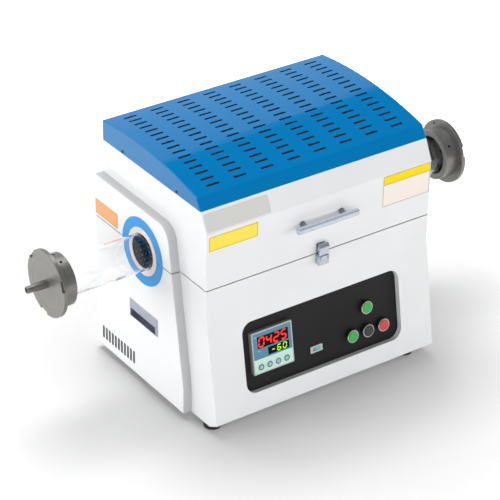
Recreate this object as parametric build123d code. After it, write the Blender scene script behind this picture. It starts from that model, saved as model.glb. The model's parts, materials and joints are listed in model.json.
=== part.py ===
"""Split-hinge tube furnace: steel case, hinged lid, quartz tube, two vacuum flanges.

Millimetres. +X runs along the tube to the right, +Y to the back, +Z up.  The origin lies
on the table, under the middle of the quartz tube and half-way from front to back.
Each sub-part is written to parts/NODE.step.
"""
from build123d import *
from math import atan2, cos, degrees, hypot, radians, sin, tan
import os

# ---------------------------------------------------------------- case
body_width = 565.0          # steel case, left side to right side
body_depth = 382.5          # vertical front to back wall
body_shift = 20.0           # the case stands this far to the right of the tube's middle
sheet = 1.5                 # folded steel sheet
edge_bend = 2.5             # outside bend radius of the case edges
chin_rise = 15.0            # heights above the underside of the case
crease_rise = 263.0
seam_rise = 317.0
brow_rise = 446.0
shoulder_rise = 489.5
lean = 10.0                 # degrees that the lower front leans out towards its foot
chin_set_in = 27.0          # bevel under the lower front
chin_bend = 5.0             # bend radius between the lower front and the bevel
brow_set_back = 21.0        # how far the lid's upper band leans back
seam_gap = 2.3              # daylight between base and lid
half_gap = 0.5              # the same between insulation halves
cut_clearance = 0.3         # between a part and the hole that it passes through

# ---------------------------------------------------------------- blue top cover
cover_sheet = 1.0
cover_lip_lift = 25.2       # front lip above the shoulder
cover_lip_set_back = 36.7
cover_bow = 25.3            # crown above the lip
cover_crown_set_back = 210.0
cover_back_drop = 7.0       # back edge below the crown
slot_columns = 8
slot_rows = 16
slot_length = 30.5
slot_width = 6.0
slot_column_pitch = 65.6
slot_row_pitch = 20.1
slot_first_row = 57.5       # behind the front plane
cover_rail = 14.0           # upstand on the lid that carries the cover
cover_ledge = 12.0          # width of the lid's shoulder flange
cover_screw_rise = 6.0      # above the shoulder
cover_screw_inset_front = 106.0
cover_screw_inset_back = 305.0
screw_radius = 2.0
screw_head_radius = 3.2
screw_head_height = 1.4
screw_length = 8.0
screw_fit = 0.2             # round a screw's shank

# ---------------------------------------------------------------- side covers
ear_depth = 20.0            # how far a side cover stands off the case
ear_top_rise = 415.0
ear_foot_rise = 2.0
ear_front_foot = 48.6       # front edge at its foot, behind the front plane
ear_lean_rise = 61.0        # height where the front edge starts to lean back
ear_corner = 38.0
vent_count = 11
vent_pitch = 12.0
vent_width = 4.0
vent_height = 27.0
vent_rise = 25.0
vent_first = 237.0          # first slot behind the front plane
vent_window = 8.0           # opening in the case behind the vents, past them all round
pull_length = 107.0         # flush pull handle
pull_height = 42.0
pull_rise = 138.5
pull_front = 144.0
pull_depth = 16.0
pull_frame = 6.5            # frame beside and behind the opening
pull_foot = 3.0             # frame under the opening
pull_grip = 20.5            # band over the opening, which the fingers pull on
pull_wall = 1.2
pull_rim = 0.6              # frame's edge thickness
pull_proud = 2.6
pull_bevel = 5.0

# ---------------------------------------------------------------- tube and furnace chamber
tube_radius = 40.0
tube_wall = 3.0
tube_length = 1000.0
tube_set_back = 201.0       # tube axis behind the front plane
tube_fit = 0.4              # round the tube, in the collars
collar_radius = 52.9        # ceramic fibre collar in each port
collar_socket = 18.0        # how far a collar sits in the insulation
collar_groove_count = 5     # ring grooves in a collar's bore
collar_groove = 3.0         # width of a groove, and of the rib beside it
collar_groove_depth = 2.0
collar_fit = 0.3            # in the case walls
port_ring_radius = 75.0
port_ring_thickness = 1.2
chamber_radius = 46.0
insulation_height = 112.0
insulation_half_width = 112.0
liner_sheet = 1.0
rod_count = 6               # heating rods in each half
rod_radius = 2.5
rod_span = 430.0
rod_end_angle = 15.0        # first rod above or below the seam
rod_seat = 0.1
sheath_radius = 3.0         # thermocouple, up between the two middle rods
sheath_head_radius = 14.0
sheath_head_height = 24.0

# ---------------------------------------------------------------- flanges
flange_face = 511.0         # outer face from the tube's middle
plate_radius = 72.0
plate_thickness = 9.0
plate_chamfer = 0.8
hub_radius = 56.0
hub_length = 31.0
hub_bore = 43.5
hub_chamfer = 0.8
notch_count = 3             # spanner notches in the plate's rim
notch_angle = 39.0
notch_length = 24.0
notch_depth = 8.0
notch_axial = 4.0
seal_length = 26.0
seal_fit = 0.05
gasket_lip = 6.0
nozzle_radius = 8.8
nozzle_tip_radius = 7.6
nozzle_length = 45.0
nozzle_tip_length = 19.0
nozzle_bore = 5.0
nozzle_thread_radius = 6.5
hub_screw_radius = 3.0      # set screws in the hub, which grip the seal
hub_screw_length = 5.4
hub_screw_sink = 1.6
hub_screw_angles = (80.0, 110.0, 215.0, 330.0)
right_hub_turn = -75.0      # the right hub is turned against the left one
set_screw_radius = 2.5      # screws in the plate's rim
set_screw_fit = 0.1
set_screw_ring = 64.5       # their pitch circle's radius
set_screw_sink = 1.6        # below the plate's inner face
set_screw_count = 3
set_screw_angle = 61.0

# ---------------------------------------------------------------- front panel
panel_width = 402.0
panel_height = 161.0
panel_drop = 48.0           # below the crease, along the slope
panel_corner = 25.0
panel_recess = 13.0
panel_plate = 2.0
panel_margin = 12.0
meter_size = 96.0           # panel controller, DIN quarter size
meter_width = 103.0         # its bezel is a little wider
meter_left = 22.0           # from the recess's left edge
meter_drop = 29.4           # from the recess's top edge
meter_bezel = 10.0
meter_wall = 2.5
meter_cutout = 92.0
meter_depth = 70.0
meter_corner = 3.0
meter_strip = 27.0          # pale key strip at the foot of the face
key_radius = 6.6
key_pitch = 21.5
key_travel = 0.8
key_proud = 1.0
key_collar = 1.0
key_fit = 0.2
button_radius = 14.7
button_pitch = 40.8
button_row_pitch = 53.7
button_right = 42.7         # right-hand button from the recess's right edge
button_foot = 41.3          # lower row above the recess's bottom edge
button_housing = 10.0
button_rim = 2.0
button_cap_radius = 12.2
button_cap_proud = 1.5
button_cap_height = 4.5
button_travel = 2.5
button_barrel = 11.0
button_barrel_length = 14.0
button_fit = 0.25
button_plunger = 4.0
button_bevel = 0.8
button_block = 26.0
port_width = 31.0
port_height = 15.0
port_right = 215.0          # from the recess's right edge
port_foot = 41.3
port_proud = 2.0
port_slot_width = 20.0
port_slot_height = 8.0
port_shell = 0.8            # sheet of the port's socket
port_reach = 12.0           # socket behind the panel
port_fit = 0.4

# ---------------------------------------------------------------- lid handle and latch
handle_rise = 399.5
handle_length = 152.0
handle_posts = 98.0
handle_section = 12.0
handle_stand_off = 22.0     # bar's middle in front of the lid
handle_post_radius = 6.5
latch_width = 24.0
latch_depth = 14.0
latch_reach_down = 23.0
latch_reach_up = 25.0
latch_sheet = 1.5
latch_pin_radius = 1.5
latch_pin_fit = 0.05
latch_side_gap = 0.3
latch_ear = 2.5             # bracket's ears past the lever's pin
claw_eye = 2.3              # radius of the claw's arms round their pin
claw_set_back = 8.3         # claw's open back, in front of the lid
claw_slope = 7.0            # height of its sloping nose
keeper_hook = 7.3           # keeper's lip, in front of the lid
keeper_foot = 10.0          # its hook above the seam
keeper_lip = 8.0

# ---------------------------------------------------------------- hinges, feet, rear
hinge_radius = 5.5
hinge_stand_off = 6.0
hinge_pin_radius = 2.5
hinge_pin_fit = 0.05
hinge_width = 60.0
hinge_leaf = 2.0
hinge_leaf_height = 34.0
hinge_spread = 340.0
hinge_gap = 0.3
foot_height = 14.0
foot_radius = 20.0
foot_taper = 2.0
foot_inset_left = 21.0
foot_inset_right = 42.0
foot_front = 2.6
foot_back = 356.0
rear_plate_width = 380.0
rear_plate_height = 150.0
rear_plate_rise = 60.0
rear_plate_corner = 6.0
rear_margin = 12.0          # plate over the wall round its opening
rear_screw_inset = 6.0
rear_slot_count = 14
rear_slot_pitch = 12.0
rear_slot_height = 40.0
gland_radius = 11.0
gland_length = 10.0
gland_thread = 8.0
gland_reach = 14.0          # thread inside the case
gland_bore = 4.5
gland_inset = 60.0          # from the case's right side
gland_rise = 60.0
heat_sink_width = 110.0     # relay's heat sink, on the case floor
heat_sink_depth = 100.0
heat_sink_base = 8.0
heat_sink_height = 32.0
heat_sink_right = 60.0      # right of the case's middle
heat_sink_fins = 9
heat_sink_fin = 2.5
relay_width = 45.0
relay_depth = 58.0
relay_height = 24.0
relay_gap = 12.0            # in front of the heat sink

# ---------------------------------------------------------------- derived datums
lean_reach = (crease_rise - chin_rise) * tan(radians(lean))
chin_turn = 90 - degrees(atan2(chin_rise, chin_set_in))
chin_trim = chin_bend * ((cos(radians(lean)) + cos(radians(chin_turn)))
                         / (1 + cos(radians(lean + chin_turn))) - 1)
front_reach = lean_reach - chin_trim        # of the rounded chin, in front of the front plane
rear_reach = hinge_stand_off + hinge_radius
total_depth = front_reach + body_depth + rear_reach
front_y = -total_depth / 2 + front_reach
back_y = front_y + body_depth
left_x = body_shift - body_width / 2
right_x = body_shift + body_width / 2
case_z = foot_height
crease_z = case_z + crease_rise
seam_z = case_z + seam_rise
seam_low = seam_z - seam_gap / 2
seam_high = seam_z + seam_gap / 2
brow_z = case_z + brow_rise
shoulder_z = case_z + shoulder_rise
cover_lip_z = shoulder_z + cover_lip_lift
cover_crown_z = cover_lip_z + cover_bow
tube_y = front_y + tube_set_back
collar_bore = tube_radius + tube_fit
port_hole = collar_radius + collar_fit
through = 2 * sheet         # reach of a cut past one sheet
BIG = 3000.0                # larger than the furnace, for half spaces


# ---------------------------------------------------------------- small helpers
def side_plane(x):
    """Plane across the furnace at x: sketch coordinates are (y, z)."""
    return Plane(origin=(x, 0, 0), x_dir=(0, 1, 0), z_dir=(1, 0, 0))


def slab(sketch, x0, x1):
    """A (y, z) sketch carried from x0 to x1."""
    return extrude(side_plane(x0) * sketch, amount=x1 - x0)


def polygon(points):
    """Closed face through 2-D points."""
    return make_face(Polyline(*points, close=True))


def block(x0, x1, y0, y1, z0, z1):
    """Box between six coordinates."""
    return Pos((x0 + x1) / 2, (y0 + y1) / 2, (z0 + z1) / 2) * Box(x1 - x0, y1 - y0, z1 - z0)


def rod_x(x0, x1, y, z, radius):
    """Round bar along X."""
    return Pos((x0 + x1) / 2, y, z) * Rot(0, 90, 0) * Cylinder(radius, x1 - x0)


def pipe_x(x0, x1, y, z, outer, inner):
    """Hollow bar along X."""
    return rod_x(x0, x1, y, z, outer) - rod_x(x0 - 1, x1 + 1, y, z, inner)


def below(z):
    """Half space under z."""
    return block(-BIG, BIG, -BIG, BIG, z - BIG, z)


def above(z):
    """Half space over z."""
    return block(-BIG, BIG, -BIG, BIG, z, z + BIG)


def cut_corner_slot(length, width):
    """Long slot whose ends are cut to points of an octagon, two corners on each side."""
    half, side, step = length / 2, width / 2, width / 4
    return polygon([
        (-half, -step), (-half + step, -side), (half - step, -side), (half, -step),
        (half, step), (half - step, side), (-half + step, side), (-half, step),
    ])


def mirrored(shape):
    """The shape's image on the case's other side."""
    return mirror(shape, about=Plane(origin=(body_shift, 0, 0), z_dir=(1, 0, 0)))


def solids_of(*shapes):
    """All solids in the shapes, as one group."""
    found = []
    for shape in shapes:
        found.extend(shape.solids())
    return Compound(children=found)


# ---------------------------------------------------------------- base
def base_outline():
    """Side view of the base."""
    outline = polygon([
        (back_y, case_z), (back_y, seam_low), (front_y, seam_low), (front_y, crease_z),
        (front_y - lean_reach, case_z + chin_rise),
        (front_y - lean_reach + chin_set_in, case_z),
    ])
    chin = outline.vertices().sort_by(Axis.X)[0:1]
    return fillet(chin, chin_bend)


def folded_case(outline, *open_heights):
    """Closed box with the side view given; its side edges are bent round, but not at open heights."""
    outer = slab(outline, left_x, right_x)
    sides = outer.faces().sort_by(Axis.X)
    edges = sides[0].edges() + sides[-1].edges()
    bent = [e for e in edges if all(abs(e.center().Z - z) > 0.1 for z in open_heights)]
    return fillet(bent, edge_bend)


def case_hollow(outline, x_wall):
    """Inside of the folded case."""
    return slab(offset(outline, amount=-sheet, kind=Kind.INTERSECTION), left_x + x_wall, right_x - x_wall)


slope_plane = Plane(
    origin=(body_shift, front_y, crease_z), x_dir=(1, 0, 0),
    z_dir=(0, -cos(radians(lean)), sin(radians(lean))))
panel_centre = Pos(0, -panel_drop - panel_height / 2)


def on_slope(sketch, w0, w1):
    """A sketch in the sloping front's plane, carried outward from w0 to w1."""
    return extrude(slope_plane.offset(w0) * (panel_centre * sketch), amount=w1 - w0)


def port_holes():
    """Round openings for the tube and its collars, through both sides."""
    reach = ear_depth + 10
    return rod_x(left_x - reach, right_x + reach, tube_y, seam_z, port_hole)


def base_case():
    """Folded base shell with the recess for the front panel."""
    outline = base_outline()
    shell = folded_case(outline, seam_low) - case_hollow(outline, sheet)
    inner_top = block(left_x + sheet, right_x - sheet, front_y + sheet, back_y - sheet,
                      seam_low - through, seam_low + 1)
    shell -= inner_top
    opening = RectangleRounded(panel_width, panel_height, panel_corner)
    frame = RectangleRounded(panel_width + 2 * sheet, panel_height + 2 * sheet, panel_corner + sheet)
    recess_wall = on_slope(frame - opening, -panel_recess, -sheet / 2)
    shell -= on_slope(opening, -panel_recess - 1, 5)
    shell += recess_wall
    shell -= port_holes()
    window = vent_opening()
    shell -= window
    shell -= mirrored(window)
    shell -= rear_opening()
    shell -= rear_holes()
    return shell


def base_deck():
    """Top plate of the base, cut out round the lower insulation."""
    deck = block(left_x + sheet, right_x - sheet, front_y + sheet, back_y - sheet, seam_low - sheet, seam_low)
    deck -= insulation_space(seam_low - through, seam_low + 1)
    return deck


def insulation_space(z0, z1):
    """Box that the insulation and its liner fill."""
    half = insulation_half_width + liner_sheet
    return block(left_x + sheet - 1, right_x - sheet + 1, tube_y - half, tube_y + half, z0, z1)


# ---------------------------------------------------------------- furnace chamber
def rod_angles():
    """Angles of the heating rods round the tube, above the seam."""
    step = (180 - 2 * rod_end_angle) / (rod_count - 1)
    return [rod_end_angle + step * i for i in range(rod_count)]


def rod_place(angle):
    """(y, z) of a heating rod's axis."""
    return (tube_y + chamber_radius * cos(radians(angle)), seam_z + chamber_radius * sin(radians(angle)))


def heater_body(radius, x_extra):
    """Upper serpentine of heating rods; a larger radius makes its grooves."""
    half_span = rod_span / 2 + x_extra
    x_middle = body_shift
    rods = [rod_x(x_middle - half_span, x_middle + half_span, *rod_place(a), radius) for a in rod_angles()]
    body = rods[0]
    for extra in rods[1:]:
        body += extra
    angles = rod_angles()
    for index in range(rod_count - 1):
        end = 1 if index % 2 == 0 else -1
        x_end = x_middle + end * (half_span - radius)
        bend = SlotCenterToCenter(
            2 * chamber_radius * sin(radians((angles[index + 1] - angles[index]) / 2)), 2 * radius)
        middle = (angles[index] + angles[index + 1]) / 2
        chord = chamber_radius * cos(radians((angles[index + 1] - angles[index]) / 2))
        spot = Pos(tube_y + chord * cos(radians(middle)), seam_z + chord * sin(radians(middle)))
        link = slab(spot * Rot(0, 0, middle + 90) * bend, x_end - radius, x_end + radius)
        body += link
    return body


def half_turn(shape):
    """An upper chamber piece turned to the lower half."""
    return mirror(shape, about=Plane(origin=(0, 0, seam_z), z_dir=(0, 0, 1)))


def upper_insulation():
    """Ceramic fibre block with half of the chamber, collar sockets and rod grooves."""
    x0, x1 = left_x + sheet, right_x - sheet
    body = block(x0, x1, tube_y - insulation_half_width, tube_y + insulation_half_width,
                 seam_z + half_gap / 2, seam_z + insulation_height)
    body -= rod_x(x0 - 1, x1 + 1, tube_y, seam_z, chamber_radius)
    body -= rod_x(x0 - 1, x0 + collar_socket, tube_y, seam_z, port_hole)
    body -= rod_x(x1 - collar_socket, x1 + 1, tube_y, seam_z, port_hole)
    body -= heater_body(rod_radius + rod_seat, rod_seat)
    return body


def upper_heater():
    """Heating rods of the upper half."""
    return heater_body(rod_radius, 0)


def upper_liner():
    """Sheet tray that holds the upper insulation."""
    x0, x1 = left_x + sheet, right_x - sheet
    half = insulation_half_width
    outer = block(x0, x1, tube_y - half - liner_sheet, tube_y + half + liner_sheet,
                  seam_high + sheet, seam_z + insulation_height + liner_sheet)
    return outer - block(x0 - 1, x1 + 1, tube_y - half, tube_y + half,
                         seam_z - 1, seam_z + insulation_height)


def upper_collars():
    """Ceramic collar halves in the two ports."""
    x0 = left_x - ear_depth - port_ring_thickness
    x1 = left_x + sheet + collar_socket
    collar = pipe_x(x0, x1, tube_y, seam_z, collar_radius, collar_bore)
    for index in range(collar_groove_count):
        groove_x = x0 + (2 * index + 1) * collar_groove
        collar -= rod_x(groove_x, groove_x + collar_groove, tube_y, seam_z, collar_bore + collar_groove_depth)
    collar = collar & above(seam_z + half_gap / 2)
    return solids_of(collar, mirrored(collar))


def upper_port_rings():
    """Painted half rings on the outer faces of the side covers."""
    x1 = left_x - ear_depth
    ring = pipe_x(x1 - port_ring_thickness, x1, tube_y, seam_z, port_ring_radius, port_hole)
    ring = ring & above(seam_z + half_gap / 2)
    return solids_of(ring, mirrored(ring))


# ---------------------------------------------------------------- side covers
def ear_outline():
    """Side view of a whole side cover."""
    foot_y = front_y + ear_front_foot
    lean_z = case_z + ear_lean_rise
    top_z = case_z + ear_top_rise
    top_y = foot_y + (top_z - lean_z) * tan(radians(lean))
    outline = polygon([
        (foot_y, case_z + ear_foot_rise), (foot_y, lean_z), (top_y, top_z),
        (back_y, top_z), (back_y, case_z + ear_foot_rise),
    ])
    corner = outline.vertices().filter_by(lambda v: abs(v.X - top_y) < 0.01 and abs(v.Y - top_z) < 0.01)
    return fillet(corner, ear_corner)


def ear_tray(z0, z1):
    """Pressed tray, open towards the case, of the side cover between two heights."""
    window = polygon([(-BIG, z0), (BIG, z0), (BIG, z1), (-BIG, z1)])
    outline = ear_outline() & window
    face_x = left_x - ear_depth
    outer = slab(outline, face_x, left_x)
    face_edges = outer.faces().sort_by(Axis.X)[0].edges()
    bent = [e for e in face_edges if abs(e.center().Z - seam_z) > seam_gap]
    outer = fillet(bent, edge_bend)
    inner = slab(offset(outline, amount=-sheet, kind=Kind.INTERSECTION), face_x + sheet, left_x + 1)
    return outer - inner - port_holes()


def vent_slots():
    """Upright slots through the left lower cover's face."""
    cutters = []
    for index in range(vent_count):
        y = front_y + vent_first + vent_pitch * index
        z = case_z + vent_rise + vent_height / 2
        slot = Pos(y, z) * Rot(0, 0, 90) * cut_corner_slot(vent_height, vent_width)
        cutters.append(slab(slot, left_x - ear_depth - 1, left_x - ear_depth + through))
    return cutters


def vent_opening():
    """Opening in the case's left wall behind the vents."""
    y0 = front_y + vent_first - vent_window
    z0 = case_z + vent_rise - vent_window
    return block(left_x - 1, left_x + through, y0, y0 + vent_pitch * (vent_count - 1) + 2 * vent_window,
                 z0, z0 + vent_height + 2 * vent_window)


pull_y = front_y + pull_front
pull_z = case_z + pull_rise


def pull_box(x0, x1, side, foot, top):
    """Block inside the flush pull's outline, left by the margins; x counts inward from the cover's face."""
    face_x = left_x - ear_depth
    return block(face_x + x0, face_x + x1, pull_y + side, pull_y + pull_length - side,
                 pull_z + foot, pull_z + pull_height - top)


def lower_side_cover():
    """Left lower side cover with its vents and the hole for the flush pull."""
    cover = ear_tray(case_z, seam_low)
    for slot in vent_slots():
        cover -= slot
    margin = pull_wall + cut_clearance
    return cover - pull_box(-1, through, pull_frame - margin, pull_foot - margin, pull_frame - margin)


def upper_side_cover():
    """Left upper side cover, on the lid."""
    return ear_tray(seam_high, shoulder_z)


def flush_pull():
    """Dished pull handle: bevelled frame on the cover, with a grip band over its opening and a cup behind."""
    face = side_plane(left_x - ear_depth) * Pos(pull_y + pull_length / 2, pull_z + pull_height / 2)
    wide = Rectangle(pull_length, pull_height)
    narrow = Pos(0, (pull_foot - pull_bevel) / 2) * Rectangle(
        pull_length - 2 * pull_bevel, pull_height - pull_bevel - pull_foot)
    frame = extrude(face * wide, amount=-pull_rim)
    frame += loft([face * (Pos(0, 0, -pull_rim) * wide), face * (Pos(0, 0, -pull_proud) * narrow)])
    shell_side, shell_foot = pull_frame - pull_wall, pull_foot - pull_wall
    cup = pull_box(0, pull_depth, shell_side, shell_foot, shell_side)
    finger_space = pull_box(pull_wall, pull_depth - pull_wall, pull_frame, pull_foot, pull_frame)
    mouth = pull_box(-pull_proud - 1, pull_depth - pull_wall, pull_frame, pull_foot, pull_grip)
    return frame + cup - finger_space - mouth


# ---------------------------------------------------------------- lid
def lid_outline():
    """Side view of the lid's steel case."""
    return polygon([
        (back_y, seam_high), (back_y, shoulder_z), (front_y + brow_set_back, shoulder_z),
        (front_y, brow_z), (front_y, seam_high),
    ])


def cover_outline(drop=0.0):
    """Side view of the blue top cover, whose foot may run on below the shoulder."""
    lip = (front_y + cover_lip_set_back, cover_lip_z)
    crown = (front_y + cover_crown_set_back, cover_crown_z)
    back = (back_y, cover_crown_z - cover_back_drop)
    foot_set_back = brow_set_back - drop * (cover_lip_set_back - brow_set_back) / cover_lip_lift
    foot = (front_y + foot_set_back, shoulder_z - drop)
    heel = (back_y, shoulder_z - drop)
    edges = [Line(foot, lip), ThreePointArc(lip, crown, back), Line(back, heel), Line(heel, foot)]
    outline = make_face(edges)
    lip_corner = outline.vertices().filter_by(lambda v: hypot(v.X - lip[0], v.Y - lip[1]) < 0.01)
    return fillet(lip_corner, 2 * edge_bend)


def lid_case():
    """Lid shell: front, brow, sides and back, with an upstand for the cover."""
    outline = lid_outline()
    shell = folded_case(outline, seam_high, shoulder_z) - case_hollow(outline, sheet)
    shell -= block(left_x + sheet, right_x - sheet, front_y + sheet, back_y - sheet,
                   seam_high - 1, seam_high + through)
    shell -= block(left_x + cover_ledge, right_x - cover_ledge, front_y + brow_set_back + cover_ledge,
                   back_y - cover_ledge, shoulder_z - through, shoulder_z + 1)
    rail_gap = cover_sheet + cut_clearance / 2
    rail = offset(cover_outline(through), amount=-rail_gap, kind=Kind.INTERSECTION)
    rail_solid = slab(rail, left_x + rail_gap, right_x - rail_gap)
    rail_hollow = slab(offset(rail, amount=-sheet, kind=Kind.INTERSECTION),
                       left_x + rail_gap + sheet, right_x - rail_gap - sheet)
    rail_solid = rail_solid - rail_hollow - above(shoulder_z + cover_rail) - below(shoulder_z)
    shell += rail_solid
    shell -= port_holes()
    for place in cover_screw_places():
        shell -= rod_x(place[0] - screw_length, place[0] + screw_length, *place[1:], screw_radius + screw_fit)
    return shell


def cover_screw_places():
    """(x, y, z) of the four screws in the top cover's ends."""
    z = shoulder_z + cover_screw_rise
    return [(x, front_y + inset, z) for x in (left_x, right_x)
            for inset in (cover_screw_inset_front, cover_screw_inset_back)]


def top_cover():
    """Blue bowed cover with rows of slots."""
    outline = cover_outline()
    outer = slab(outline, left_x, right_x)
    faces = outer.faces().sort_by(Axis.X)
    top_edges = [e for e in faces[0].edges() + faces[-1].edges() if e.center().Z > shoulder_z + 1]
    outer = fillet(top_edges, edge_bend)
    inner = offset(cover_outline(through), amount=-cover_sheet, kind=Kind.INTERSECTION)
    cover = outer - slab(inner, left_x + cover_sheet, right_x - cover_sheet)
    slot = cut_corner_slot(slot_length, slot_width)
    cutters = []
    for column in range(slot_columns):
        x = body_shift + (column - (slot_columns - 1) / 2) * slot_column_pitch
        for row in range(slot_rows):
            y = front_y + slot_first_row + row * slot_row_pitch
            cutters.append(Pos(x, y) * slot)
    base = Plane.XY.offset((shoulder_z + cover_lip_z) / 2)
    cover -= extrude(base * Sketch(children=cutters), amount=cover_lip_lift + cover_bow)
    for x, y, z in cover_screw_places():
        cover -= rod_x(x - screw_length, x + screw_length, y, z, screw_radius + screw_fit)
    return cover


def cover_screws():
    """Pan-head screws in the ends of the top cover."""
    screws = []
    for x, y, z in cover_screw_places():
        out = -1 if x < body_shift else 1
        head = rod_x(min(x, x + out * screw_head_height), max(x, x + out * screw_head_height), y, z,
                     screw_head_radius)
        shank_end = x - out * screw_length
        shank = rod_x(min(x, shank_end), max(x, shank_end), y, z, screw_radius)
        screws.append(head + shank)
    return solids_of(*screws)


def lid_deck():
    """Plate that closes the lid's underside round the upper insulation."""
    deck = block(left_x + sheet, right_x - sheet, front_y + sheet, back_y - sheet,
                 seam_high, seam_high + sheet)
    return deck - insulation_space(seam_high - 1, seam_high + through)


def lid_handle():
    """Square bar with rounded edges, across the lid's front."""
    y = front_y - handle_stand_off
    z = case_z + handle_rise
    section = Pos(y, z) * RectangleRounded(handle_section, handle_section, 2.5)
    bar = slab(section, body_shift - handle_length / 2, body_shift + handle_length / 2)
    ends = bar.faces().sort_by(Axis.X)
    return chamfer(ends[0].edges() + ends[-1].edges(), 0.8)


def lid_handle_posts():
    """Two waisted posts between the lid and the bar."""
    length = handle_stand_off - handle_section / 2
    posts = []
    for sign in (-1, 1):
        x = body_shift + sign * handle_posts / 2
        profile = polygon([
            (0, 0), (handle_post_radius, 0), (handle_post_radius, 2.5),
            (handle_post_radius - 1.5, 4.5), (handle_post_radius - 1.5, length), (0, length),
        ])
        post = revolve(Plane.XZ * profile, axis=Axis.Z)
        posts.append(Pos(x, front_y, case_z + handle_rise) * Rot(90, 0, 0) * post)
    return solids_of(*posts)


# ---------------------------------------------------------------- latch
lever_pin_y = front_y - 4.5
lever_pin_z = seam_z - 4.5
claw_pin_y = front_y - 9.5
claw_pin_z = seam_z - 9.0
latch_half = latch_width / 2
claw_arm_outer = latch_half - latch_sheet - latch_side_gap


def latch_plate():
    """Bracket on the base, with two ears, and the lever's pin in them."""
    cheek_gap = latch_sheet + latch_side_gap
    back = block(body_shift - latch_half, body_shift + latch_half, front_y - latch_sheet, front_y,
                 seam_z - latch_reach_down, seam_low)
    ears = back
    for sign in (-1, 1):
        outer = body_shift + sign * (latch_half - cheek_gap)
        inner = outer - sign * latch_sheet
        ears += block(min(outer, inner), max(outer, inner), lever_pin_y - latch_ear, front_y - latch_sheet,
                      lever_pin_z - latch_ear, seam_low)
    ears -= rod_x(body_shift - latch_half, body_shift + latch_half, lever_pin_y, lever_pin_z,
                  latch_pin_radius)
    return solids_of(ears, latch_pin(lever_pin_y, lever_pin_z))


def latch_lever():
    """Lever with a front plate and two cheeks, hanging over the bracket, and the claw's pin.

    Slots in the front plate let the claw's arms through as the lever swings up.
    """
    front = front_y - latch_depth
    top = seam_z - 2.5
    cheek = polygon([
        (front, seam_z - latch_reach_down), (front, top), (lever_pin_y, lever_pin_z + 2.4),
        (lever_pin_y + 2.4, lever_pin_z), (front_y - 2.4, lever_pin_z - 6),
        (front_y - 2.4, seam_z - latch_reach_down + 3), (front_y - 5, seam_z - latch_reach_down),
    ])
    body = slab(cheek, body_shift - latch_half, body_shift + latch_half)
    inner = latch_half - latch_sheet
    body -= block(body_shift - inner, body_shift + inner, front + latch_sheet, front_y,
                  seam_z - latch_reach_down - 1, seam_z)
    slot_foot = claw_pin_z - claw_eye - latch_side_gap
    slot_inner = claw_arm_outer - latch_sheet - latch_side_gap
    for sign in (-1, 1):
        x_out, x_in = body_shift + sign * inner, body_shift + sign * slot_inner
        body -= block(min(x_out, x_in), max(x_out, x_in), front - 1, front + through, slot_foot, top + 1)
    hole = latch_pin_radius + latch_pin_fit
    body -= rod_x(body_shift - latch_half - 1, body_shift + latch_half + 1, lever_pin_y, lever_pin_z, hole)
    body -= rod_x(body_shift - latch_half - 1, body_shift + latch_half + 1, claw_pin_y, claw_pin_z,
                  latch_pin_radius)
    return solids_of(body, latch_pin(claw_pin_y, claw_pin_z))


def latch_pin(y, z):
    """Pin across the latch."""
    return rod_x(body_shift - latch_half + 0.2, body_shift + latch_half - 0.2, y, z, latch_pin_radius)


def latch_claw():
    """Claw over the keeper: arms on the lever, a face plate and a sloping nose."""
    front = front_y - latch_depth
    top = seam_z + latch_reach_up
    back = front_y - claw_set_back
    cheek = polygon([
        (front, seam_z + half_gap), (front, top - claw_slope), (back - 2, top), (back, top),
        (back, seam_z + claw_slope), (back - 2, seam_z + half_gap),
    ])
    body = slab(cheek, body_shift - latch_half, body_shift + latch_half)
    inner = latch_half - latch_sheet
    hollow = polygon([
        (front + latch_sheet, seam_z), (front + latch_sheet, top - claw_slope - latch_sheet / 2),
        (back - 2, top - latch_sheet),
        (back + 1, top - latch_sheet), (back + 1, seam_z),
    ])
    body -= slab(hollow, body_shift - inner, body_shift + inner)
    for sign in (-1, 1):
        x_out = body_shift + sign * claw_arm_outer
        x_in = x_out - sign * latch_sheet
        x_wall = body_shift + sign * (inner + 0.01)
        low, high = min(x_out, x_in), max(x_out, x_in)
        body += block(low, high, claw_pin_y - claw_eye, claw_pin_y + 0.8, claw_pin_z, seam_z + 6)
        body += rod_x(low, high, claw_pin_y, claw_pin_z, claw_eye)
        body += block(min(x_wall, x_in), max(x_wall, x_in), claw_pin_y - claw_eye, claw_pin_y + 0.8,
                      seam_z + 1, seam_z + 6)
    hole = latch_pin_radius + latch_pin_fit
    return body - rod_x(body_shift - latch_half, body_shift + latch_half, claw_pin_y, claw_pin_z, hole)


def latch_keeper():
    """Hooked strike on the lid, behind the claw."""
    plate_y, lip_y = front_y - latch_sheet, front_y - keeper_hook
    foot, top = seam_z + keeper_foot, seam_z + latch_reach_up - 1
    hook = polygon([
        (front_y, seam_high + 1), (front_y, top), (plate_y, top), (plate_y, foot + latch_sheet),
        (lip_y + latch_sheet, foot + latch_sheet), (lip_y + latch_sheet, foot + keeper_lip),
        (lip_y, foot + keeper_lip), (lip_y, foot), (plate_y, foot), (plate_y, seam_high + 1),
    ])
    return slab(hook, body_shift - latch_half, body_shift + latch_half)


# ---------------------------------------------------------------- hinges
hinge_y = back_y + hinge_stand_off


def hinge_leaf_solid(z0, z1, spans):
    """A leaf on the back wall with knuckles over the given spans of its width."""
    group = []
    for sign in (-1, 1):
        x_start = body_shift + sign * hinge_spread / 2 - hinge_width / 2
        leaf = block(x_start, x_start + hinge_width, back_y, back_y + hinge_leaf, min(z0, z1), max(z0, z1))
        for lo, hi in spans:
            leaf += rod_x(x_start + lo, x_start + hi, hinge_y, seam_z, hinge_radius)
            leaf += block(x_start + lo, x_start + hi, back_y, hinge_y, min(z0, seam_z), max(z0, seam_z))
        leaf -= rod_x(x_start - 1, x_start + hinge_width + 1, hinge_y, seam_z,
                      hinge_pin_radius + hinge_pin_fit)
        group.append(leaf)
    return solids_of(*group)


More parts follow.
